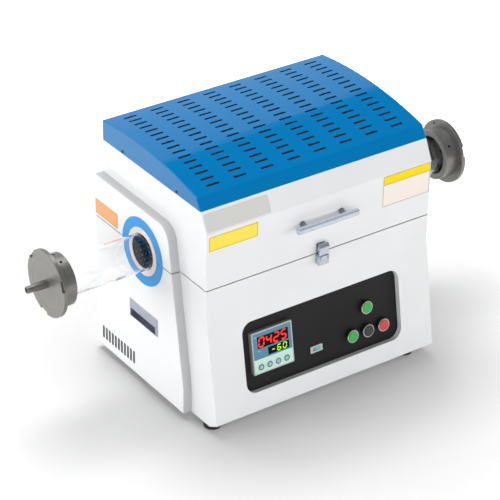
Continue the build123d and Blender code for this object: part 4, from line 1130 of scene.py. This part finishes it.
@dataclass
class SegmentRow:
    """A row of seven-segment digits.

    Attributes:
        name: the piece's name.
        text: digits, minus signs and spaces.
        face: face with its origin at the row's middle.
        width: width of one digit.
        height: height of one digit.
        pitch: distance from digit to digit.
        stroke: thickness of a segment.
        finish: the lit finish.
        slant: how far the top leans to the right, as a share of the height.
        gap: how far a segment's tip stays clear of its corner.
    """
    name: str
    text: str
    face: Surface
    width: float
    height: float
    pitch: float
    stroke: float
    finish: Finish
    slant: float = 0.12
    gap: float = 0.35

    def bar(self, build: bmesh.types.BMesh, start: tuple[float, float], end: tuple[float, float],
            shift: float) -> None:
        """Adds one pointed segment.

        Args:
            build: the mesh.
            start: its first end, in the digit's own u and v.
            end: its other end.
            shift: the digit's place in the row.
        """
        a, b = Vector(start), Vector(end)
        along = (b - a).normalized()
        across = Vector((-along.y, along.x)) * (self.stroke / 2)
        a, b = a + along * self.gap, b - along * self.gap
        tip = along * (self.stroke / 2)
        outline = [a, a + tip - across, b - tip - across, b, b - tip + across, a + tip + across]
        points = [(p.x + p.y * self.slant + shift, p.y) for p in outline]
        add_plate(build, self.face, points, 0.0, SKIN)

    def build(self) -> None:
        """Builds the row as one piece on the base."""
        w, h = self.width / 2, self.height / 2
        ends = {"a": ((-w, h), (w, h)), "b": ((w, 0), (w, h)), "c": ((w, -h), (w, 0)),
                "d": ((-w, -h), (w, -h)), "e": ((-w, -h), (-w, 0)), "f": ((-w, 0), (-w, h)),
                "g": ((-w, 0), (w, 0))}
        build = bmesh.new()
        for place, digit in enumerate(self.text):
            shift = (place - (len(self.text) - 1) / 2) * self.pitch
            for segment in SEGMENTS[digit]:
                self.bar(build, *ends[segment], shift)
        piece(self.name, build, self.finish, "base")


@dataclass
class Controller:
    """Printed face, windows and digits of the panel controller.

    Places on the face run to the right and up from its middle; drops run down from the top of the
    printed field, and reaches to the right from its left edge.

    Attributes:
        measures: faces of the solids.
        width: width of the face.
        size: height of the face.
        bezel: how far the face stands off the panel.
        strip: height of the pale strip with the keys.
        rim: width of the bezel's edge round the printed field.
        frame_inset: how much narrower the silver line is than the face.
        key_radius: radius of a key.
        key_proud: how far a key stands off the face.
        key_clear: space round a key in the strip.
        keys: number of keys.
        upper_window: width and height of the upper window.
        upper_place: its middle: place and drop.
        lower_window: width and height of the lower window.
        lower_place: its middle: place and drop.
        lamp_bars: reach and drop of each small bar.
        lamp_bar: a bar's width and height.
        run_lamp: the lamp's width and height, in the field's lower left corner.
        run_lamp_place: its reach, and its height above the field's lower edge.
    """
    measures: Measures
    width: float = 103.0
    size: float = 96.0
    bezel: float = 10.0
    strip: float = 30.0
    rim: float = 3.6
    frame_inset: float = 2.6
    key_radius: float = 6.6
    key_proud: float = 1.0
    key_clear: float = 0.5
    keys: int = 4
    upper_window: tuple[float, float] = (77.0, 26.0)
    upper_place: tuple[float, float] = (1.5, 22.0)
    lower_window: tuple[float, float] = (53.0, 17.0)
    lower_place: tuple[float, float] = (14.5, 47.0)
    lamp_bars: tuple[tuple[float, float], ...] = ((5.5, 8.5), (14.0, 41.0))
    lamp_bar: tuple[float, float] = (4.2, 2.2)
    run_lamp: tuple[float, float] = (6.4, 2.8)
    run_lamp_place: tuple[float, float] = (6.5, 3.4)
    silver: Finish = BrushedMetal("silver_bezel_line", "#c6ccd0", 0.35, 0.6, shade="#bcc3c8")
    teal: Finish = PrintedFilm("teal_overlay", "#4f8aa3", 0.3, shade="#49839d")
    mint: Finish = PrintedFilm("mint_overlay", "#cdeadb", 0.35, shade="#c5e5d5")
    glass: Finish = Finish("smoked_window", "#080809", 0.3, gloss=0.1)
    red: Finish = LitSegment("red_segment", "#f01814", 0.4, glow=0.75)
    green: Finish = LitSegment("green_segment", "#9be010", 0.4, glow=0.6)
    lamp: Finish = LitSegment("green_lamp", "#5fe08a", 0.4, glow=0.4)
    ring: Finish = PrintedFilm("dark_teal_ring_ink", "#2f6078", 0.45, shade="#2a5a72")

    def middle(self) -> Surface:
        """Returns the face's plane, from the controller's middle."""
        low, high = node_span("controller_bezel")
        panel = self.measures.panel()
        across = (low.x + high.x) / 2 - panel.origin.x
        centre = Vector((0, (low.y + high.y) / 2, (low.z + high.z) / 2)) - panel.origin
        return panel.moved(across, centre.dot(panel.v_dir), self.bezel)

    def key_place(self, number: int, face: Surface) -> tuple[float, float]:
        """Returns a key's place on the face, read from its solid.

        Args:
            number: the key's number, from the left.
            face: the controller's face.

        Returns:
            The key's (u, v).
        """
        low, high = node_span(f"controller_key_{number}")
        centre = (low + high) / 2 - face.origin
        return centre.x, centre.dot(face.v_dir)

    def build(self) -> None:
        """Lays the frame line, the two fields, the windows, the digits and the key rings."""
        face = self.middle()
        field_width, field_size = self.width - 2 * self.rim, self.size - 2 * self.rim
        side, half = field_width / 2, field_size / 2
        line = bmesh.new()
        add_frame(line, face, rounded(self.width - self.frame_inset, self.size - self.frame_inset, 2.0),
                  rounded(field_width, field_size, 1.0), LIFT, SKIN)
        piece("controller_frame_line", line, self.silver, "base")
        teal = bmesh.new()
        top_height = field_size - self.strip
        add_plate(teal, face.moved(0, half - top_height / 2), rounded(field_width, top_height, 0), LIFT, SKIN)
        piece("controller_upper_field", teal, self.teal, "base")
        self.lay_strip(face, side, half)
        self.lay_windows(face, half)
        lamps = bmesh.new()
        for reach, drop in self.lamp_bars:
            add_plate(lamps, face.moved(reach - side, half - drop), rounded(*self.lamp_bar, 0.5),
                      INK_FOOT, INK_TOP)
        piece("controller_lamp_bars", lamps, self.silver, "base")
        sign = bmesh.new()
        reach, rise = self.run_lamp_place
        add_plate(sign, face.moved(reach - side, rise - half), rounded(*self.run_lamp, 0.6), INK_FOOT, INK_TOP)
        piece("controller_run_lamp", sign, self.lamp, "base")
        for number in range(1, self.keys + 1):
            u, v = self.key_place(number, face)
            ring = bmesh.new()
            add_frame(ring, face.moved(u, v, self.key_proud), ring_points(self.key_radius - 0.15),
                      ring_points(self.key_radius - 2.0), LIFT, SKIN)
            piece(f"key_ring_{number}", ring, self.ring, f"controller_key_{number}")

    def lay_windows(self, face: Surface, half: float) -> None:
        """Lays both windows and their digits.

        Args:
            face: the controller's face.
            half: half the printed field's height.
        """
        windows = bmesh.new()
        upper = face.moved(self.upper_place[0], half - self.upper_place[1])
        lower = face.moved(self.lower_place[0], half - self.lower_place[1])
        for place, size in ((upper, self.upper_window), (lower, self.lower_window)):
            add_plate(windows, place, rounded(*size, 1.2), INK_FOOT, INK_TOP)
        piece("controller_windows", windows, self.glass, "base")
        SegmentRow("upper_digits", "0425", upper.moved(-0.5, 0, INK_TOP), width=11.6, height=19.5,
                   pitch=18.6, stroke=3.7, finish=self.red).build()
        SegmentRow("lower_digits", "-60", lower.moved(1.0, 0, INK_TOP), width=8.0, height=12.0,
                   pitch=14.4, stroke=2.4, finish=self.green).build()

    def lay_strip(self, face: Surface, side: float, half: float) -> None:
        """Lays the pale strip, with a clear hole round each key.

        Args:
            face: the controller's face.
            side: half the printed field's width.
            half: half its height.
        """
        strip = bmesh.new()
        clear = self.key_radius + self.key_clear
        places = [self.key_place(n, face) for n in range(1, self.keys + 1)]
        row_v = places[0][1]
        low, high = -half, -half + self.strip
        for part_low, part_high in ((low, row_v - clear), (row_v + clear, high)):
            add_plate(strip, face.moved(0, (part_low + part_high) / 2),
                      rounded(2 * side, part_high - part_low, 0), LIFT, SKIN)
        edges = [-side] + [u + way * clear for u, _ in places for way in (-1, 1)] + [side]
        for start, end in zip(edges[::2], edges[1::2]):
            add_plate(strip, face.moved((start + end) / 2, row_v), rounded(end - start, 2 * clear, 0),
                      LIFT, SKIN)
        corner_steps = 7
        square = rounded(2 * clear, 2 * clear, clear * 0.002, corner_steps)
        hole = rounded(2 * clear, 2 * clear, clear, corner_steps)
        for u, v in places:
            add_frame(strip, face.moved(u, v), square, hole, LIFT, SKIN)
        piece("controller_key_strip", strip, self.mint, "base")


@dataclass
class FrontPanel:
    """Small pieces on the black panel: the data port's tongue, and dark plates in its frame painted as the
    shade in its contact slots.

    Attributes:
        measures: faces of the solids.
        foot: height of the port's middle above the recess's lower edge.
        proud: how far the port's frame stands off the panel.
        sunk: how deep the port's floor lies in its frame.
        tongue_size: width and height of the tongue.
        tongue_shift: how far it lies to the right of the port's middle.
        tongue_top: how deep its face lies.
        slot_size: width and height of a contact slot.
        slot_shift: how far the slots lie to the left.
        slot_rows: heights of the slots above the port's middle.
        slot_top: how deep their face lies.
    """
    measures: Measures
    foot: float = 41.3
    proud: float = 2.0
    sunk: float = 1.0
    tongue_size: tuple[float, float] = (12.5, 6.4)
    tongue_shift: float = 4.2
    tongue_top: float = 0.2
    slot_size: tuple[float, float] = (5.2, 1.3)
    slot_shift: float = 5.6
    slot_rows: tuple[float, ...] = (-2.0, 2.0)
    slot_top: float = 0.4
    tongue: Finish = MouldedPlastic("cyan_port_tongue", "#43cdd6", 0.4, shade="#3bc4cd")
    # dark plates painted as the shade inside the port's contact slots
    gap: Finish = Finish("port_shadow_gap", "#5b4a45", 0.6)

    def build(self) -> None:
        """Builds the tongue and the dark plates of painted shade in the contact slots."""
        low, high = node_span("data_port")
        panel = self.measures.panel()
        face = panel.moved((low.x + high.x) / 2 - panel.origin.x, self.foot - self.measures.panel_height / 2,
                           self.proud)
        tongue = bmesh.new()
        add_plate(tongue, face.moved(self.tongue_shift, 0), rounded(*self.tongue_size, 0.8),
                  -self.sunk, -self.tongue_top)
        piece("port_tongue", tongue, self.tongue, "base")
        slot_shadows = bmesh.new()
        for row in self.slot_rows:
            add_plate(slot_shadows, face.moved(-self.slot_shift, row), rounded(*self.slot_size, 0.4),
                      -self.sunk, -self.slot_top)
        piece("port_contact_slots", slot_shadows, self.gap, "base")


@dataclass
class FlangeScrews:
    """Socket set screws in both hubs and both end plates, in place of the plain ones.

    Attributes:
        measures: faces of the solids.
        finish: the screws' surface.
        hub_angles: places round the left hub, in degrees from +Y towards +Z.
        right_turn: how far the right hub is turned against the left one.
        hub_x: distance of the hub's screws from the tube's middle.
        hub_seat: distance of their feet from the tube's axis.
        hub_length: height of a hub's screw over its foot.
        hub_radius: its radius.
        hub_socket: across-corners radius and depth of its socket.
        plate_angles: places round both plates.
        plate_ring: radius of the plates' screw circle.
        plate_seat: distance of the plates' screw feet from the tube's middle.
        plate_length: height of a plate's screw over its foot.
        plate_radius: its radius.
        plate_socket: across-corners radius and depth of its socket.
    """
    measures: Measures
    finish: Finish
    hub_angles: tuple[float, ...] = (80.0, 110.0, 215.0, 330.0)
    right_turn: float = -75.0
    hub_x: float = 486.5
    hub_seat: float = 49.0
    hub_length: float = 5.4
    hub_radius: float = 3.0
    hub_socket: tuple[float, float] = (1.9, 3.4)
    plate_angles: tuple[float, ...] = (61.0, 181.0, 301.0)
    plate_ring: float = 64.5
    plate_seat: float = 508.1
    plate_length: float = 4.5
    plate_radius: float = 2.5
    plate_socket: tuple[float, float] = (1.6, 2.8)

    def around(self, x: float, radius: float, angle: float) -> tuple[Vector, Vector]:
        """Returns a point on a circle round the tube, in metres, and the way out from the axis.

        Args:
            x: the circle's place along the tube.
            radius: its radius.
            angle: degrees from +Y towards +Z.

        Returns:
            The point and the outward unit vector.
        """
        axis_y, axis_z = self.measures.tube_axis
        way = Vector((0, math.cos(math.radians(angle)), math.sin(math.radians(angle))))
        return (Vector((x, axis_y, axis_z)) + way * radius) * MM, way

    def build(self) -> None:
        """Sets the screws with Geometry Nodes, one piece for the hubs and one for the plates."""
        hub_places = [self.around(side * self.hub_x, self.hub_seat, angle + turn)
                      for side, turn in ((-1, 0.0), (1, self.right_turn)) for angle in self.hub_angles]
        shape = screw_shape("hub_screw_shape", self.hub_radius, self.hub_length, Drive.HEX, *self.hub_socket)
        hubs = set_on_points("hub_set_screws", shape, hub_places, self.finish, "tube_assembly")
        plate_places = [(self.around(side * self.plate_seat, self.plate_ring, angle)[0], Vector((-side, 0, 0)))
                        for side in (-1, 1) for angle in self.plate_angles]
        shape = screw_shape("plate_screw_shape", self.plate_radius, self.plate_length, Drive.HEX,
                            *self.plate_socket)
        plates = set_on_points("plate_set_screws", shape, plate_places, self.finish, "tube_assembly")
        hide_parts("flange_set_screws")
        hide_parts("flange_set_screws")


@dataclass
class CaseScrews:
    """Pan-head screws that hold the top cover's ends and the rear plate.

    Attributes:
        measures: faces of the solids.
        finish: the screws' surface.
        cover_rise: height of the cover's screws above the lid's shoulder.
        cover_insets: their distances behind the front plane.
        head_radius: radius of a head.
        head_height: its height.
        recess: reach and depth of its cross.
        rear_inset: distance of the rear plate's screws from its sides.
        rear_margin: their distance from its top and foot.
    """
    measures: Measures
    finish: Finish
    cover_rise: float = 6.0
    cover_insets: tuple[float, ...] = (106.0, 305.0)
    head_radius: float = 3.2
    head_height: float = 1.4
    recess: tuple[float, float] = (1.8, 0.8)
    rear_inset: float = 6.0
    rear_margin: float = 12.0

    def build(self) -> None:
        """Sets the screws of each body."""
        low, high = node_span("lid_case")
        shoulder = node_span("top_cover")[0].z
        places = [(Vector((x, self.measures.front_y + inset, shoulder + self.cover_rise)) * MM,
                   Vector((way, 0, 0)))
                  for x, way in ((low.x, -1), (high.x, 1)) for inset in self.cover_insets]
        shape = screw_shape("cover_screw_shape", self.head_radius, self.head_height, Drive.CROSS,
                            *self.recess)
        made = set_on_points("cover_end_screws", shape, places, self.finish, "lid")
        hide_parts("top_cover_screws")
        low, high = node_span("rear_plate")
        places = [(Vector((x, high.y, z)) * MM, Vector((0, 1, 0)))
                  for x in (low.x + self.rear_inset, high.x - self.rear_inset)
                  for z in (low.z + self.rear_margin, high.z - self.rear_margin)]
        shape = screw_shape("rear_screw_shape", self.head_radius, self.head_height, Drive.CROSS, *self.recess)
        set_on_points("rear_plate_screw_heads", shape, places, self.finish, "base")


@dataclass(frozen=True)
class Lamp:
    """A square soft lamp; its sizes are metres.

    Attributes:
        name: its name.
        place: its middle.
        aim: the point that it faces.
        size: its edge.
        power: its power in watts.
    """
    name: str
    place: tuple[float, float, float]
    aim: tuple[float, float, float]
    size: float
    power: float

    def build(self) -> None:
        """Hangs the lamp and turns it to its aim."""
        data = bpy.data.lights.new(self.name, "AREA")
        data.shape = "SQUARE"
        data.size = self.size
        data.energy = self.power
        made = bpy.data.objects.new(self.name, data)
        turn = (Vector(self.aim) - Vector(self.place)).to_track_quat("-Z", "Y")
        made.matrix_world = Matrix.Translation(Vector(self.place)) @ turn.to_matrix().to_4x4()
        bpy.context.scene.collection.objects.link(made)


@dataclass
class Studio:
    """Floor, lamps and camera.

    Attributes:
        place: the camera's place in millimetres.
        forward: where it looks.
        right: the frame's right-hand direction.
        lens: focal length for the sensor's width.
        sensor: the sensor's width.
        lamps: the lamps.
        floor_size: edge of the floor in millimetres.
        floor_colour: sRGB hex of the floor.
        floor_glow: light that the floor adds for the eye, near the furnace.
        far_glow: the same far off, so that the floor fades to white.
        fade: distances at which the fading starts and ends, in millimetres.
        horizon: strength of the surroundings at the horizon, as light on the furnace.
        zenith: their strength from half-way up.
        front_gain: what the side in front of the furnace adds.
        dark_side: way to the middle of the dark half of the surroundings that gloss shows; its edge is
            seen on the bowed cover.
        card_light: strength of the bright half.
        card_dark: strength of the dark half.
        card_edge: half the width of the edge between both halves.
    """
    place: tuple[float, float, float] = (-2454.683, -3373.563, 2752.894)
    forward: tuple[float, float, float] = (0.50050382, 0.69671464, -0.51389165)
    right: tuple[float, float, float] = (0.81844861, -0.57428058, 0.01853887)
    lens: float = 165.922
    sensor: float = 36.0
    lamps: tuple[Lamp, ...] = (
        Lamp("key_lamp", place=(0.0, 1.0, 3.8), aim=(0.0, 0.0, 0.25), size=2.0, power=99.0),
        Lamp("side_lamp", place=(-3.6, 0.9, 1.0), aim=(-0.3, 0.0, 0.25), size=1.6, power=20.0))
    floor_size: float = 24000.0
    floor_colour: str = "#e7e7e7"
    floor_glow: float = 0.02
    far_glow: float = 0.75
    fade: tuple[float, float] = (400.0, 1350.0)
    horizon: float = 3.2
    zenith: float = 0.2
    front_gain: float = 0.15
    dark_side: tuple[float, float, float] = (0.4615, -0.7841, 0.4151)
    card_light: float = 0.7
    card_dark: float = 0.05
    card_edge: float = 0.015

    def camera(self) -> None:
        """Builds the camera."""
        data = bpy.data.cameras.new("camera")
        data.lens = self.lens
        data.sensor_width = self.sensor
        data.sensor_fit = "HORIZONTAL"
        data.clip_end = 100.0
        made = bpy.data.objects.new("camera", data)
        right, forward = Vector(self.right).normalized(), Vector(self.forward).normalized()
        up = right.cross(forward)
        turn = Matrix((right, up, -forward)).transposed().to_4x4()
        made.matrix_world = Matrix.Translation(Vector(self.place) * MM) @ turn
        bpy.context.scene.collection.objects.link(made)
        bpy.context.scene.camera = made

    def seen(self, tree: bpy.types.NodeTree) -> bpy.types.NodeSocket:
        """Adds a switch for what the eye sees straight, in gloss or through glass.

        Args:
            tree: the node tree.

        Returns:
            A socket that is 1 there and 0 elsewhere.
        """
        path = add_node(tree, "ShaderNodeLightPath")
        first = add_node(tree, "ShaderNodeMath", {0: path.outputs["Is Camera Ray"],
                                                  1: path.outputs["Is Glossy Ray"]}, operation="MAXIMUM")
        both = add_node(tree, "ShaderNodeMath", {0: first.outputs[0],
                                                 1: path.outputs["Is Transmission Ray"]}, operation="MAXIMUM")
        return both.outputs[0]

    def floor(self) -> None:
        """Builds the pale floor."""
        half = metre(self.floor_size) / 2
        mesh = bpy.data.meshes.new("floor")
        corners = [(-half, -half, 0), (half, -half, 0), (half, half, 0), (-half, half, 0)]
        mesh.from_pydata(corners, [], [(0, 1, 2, 3)])
        made = bpy.data.objects.new("floor", mesh)
        bpy.context.scene.collection.objects.link(made)
        look = bpy.data.materials.new("pale_floor")
        look.use_nodes = True
        tree = look.node_tree
        shader = tree.nodes["Principled BSDF"]
        for name, value in (("Base Color", linear(self.floor_colour)), ("Roughness", 0.9),
                            ("Specular IOR Level", 0.0), ("Emission Color", (1.0, 1.0, 1.0, 1.0))):
            shader.inputs[name].default_value = value
        place = add_node(tree, "ShaderNodeTexCoord").outputs["Object"]
        away = add_node(tree, "ShaderNodeVectorMath", {0: place}, operation="LENGTH")
        near, far = (metre(distance) for distance in self.fade)
        glow = add_node(tree, "ShaderNodeMapRange", {"Value": away.outputs["Value"], "From Min": near,
                                                     "From Max": far, "To Min": self.floor_glow,
                                                     "To Max": self.far_glow})
        shown = add_node(tree, "ShaderNodeMath", {0: self.seen(tree), 1: glow.outputs["Result"]},
                         operation="MULTIPLY")
        tree.links.new(shown.outputs[0], shader.inputs["Emission Strength"])
        mesh.materials.append(look)

    def world(self) -> None:
        """Builds the white surroundings: brightest at the horizon, and for gloss bright on one side."""
        made = bpy.data.worlds.new("studio")
        made.use_nodes = True
        tree = made.node_tree
        ground = tree.nodes["Background"]
        ground.inputs["Color"].default_value = (1.0, 1.0, 1.0, 1.0)
        way = add_node(tree, "ShaderNodeTexCoord").outputs["Generated"]
        parts = add_node(tree, "ShaderNodeSeparateXYZ", {"Vector": way})
        rise = add_node(tree, "ShaderNodeMapRange", {"Value": parts.outputs["Z"], "From Max": 0.5,
                                                     "To Min": self.horizon, "To Max": self.zenith})
        front = add_node(tree, "ShaderNodeMapRange", {"Value": parts.outputs["Y"], "From Min": -1.0,
                                                      "From Max": 0.0, "To Min": self.front_gain,
                                                      "To Max": 0.0})
        lit = add_node(tree, "ShaderNodeMath", {0: rise.outputs["Result"], 1: front.outputs["Result"]},
                       operation="ADD")
        across = add_node(tree, "ShaderNodeVectorMath", {0: way, 1: self.dark_side}, operation="DOT_PRODUCT")
        card = add_node(tree, "ShaderNodeMapRange", {"Value": across.outputs["Value"],
                                                     "From Min": -self.card_edge, "From Max": self.card_edge,
                                                     "To Min": self.card_light, "To Max": self.card_dark})
        path = add_node(tree, "ShaderNodeLightPath")
        gloss = add_node(tree, "ShaderNodeMix", {"Factor": path.outputs["Is Glossy Ray"],
                                                 2: lit.outputs[0], 3: card.outputs["Result"]})
        clear = add_node(tree, "ShaderNodeMath", {0: path.outputs["Is Camera Ray"],
                                                  1: path.outputs["Is Transmission Ray"]}, operation="MAXIMUM")
        final = add_node(tree, "ShaderNodeMix", {"Factor": clear.outputs[0], 2: gloss.outputs[0], 3: 1.0})
        tree.links.new(final.outputs[0], ground.inputs["Strength"])
        bpy.context.scene.world = made

    def build(self) -> None:
        """Builds floor, lamps, world and camera, and sets the plain view transform."""
        self.floor()
        self.world()
        for lamp in self.lamps:
            lamp.build()
        self.camera()
        bpy.context.scene.view_settings.view_transform = "Standard"


# ---------------------------------------------------------------- the whole furnace
def main() -> None:
    """Dresses the solids and builds every sub-assembly and the studio."""
    logging.basicConfig(level=logging.INFO, format="%(message)s")
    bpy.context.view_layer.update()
    measures = Measures()
    finishes = case_finishes(measures.tube_axis)
    dress_solids(finishes)
    # near-black sheets and vent liners painted as the shade in and behind the slots and vents
    mesh = MouldedPlastic("black_slot_shade", "#141415", 0.9, shade="#1c1c1e", grain_mm=0.8)
    for part in (SlotShadeSheets(measures, mesh), LabelSet(measures), Controller(measures), FrontPanel(measures),
                 FlangeScrews(measures, finishes["dark_steel"]), CaseScrews(measures, finishes["dark_steel"]),
                 Studio()):
        LOG.info("building %s", type(part).__name__)
        part.build()


if __name__ == "__main__":
    main()
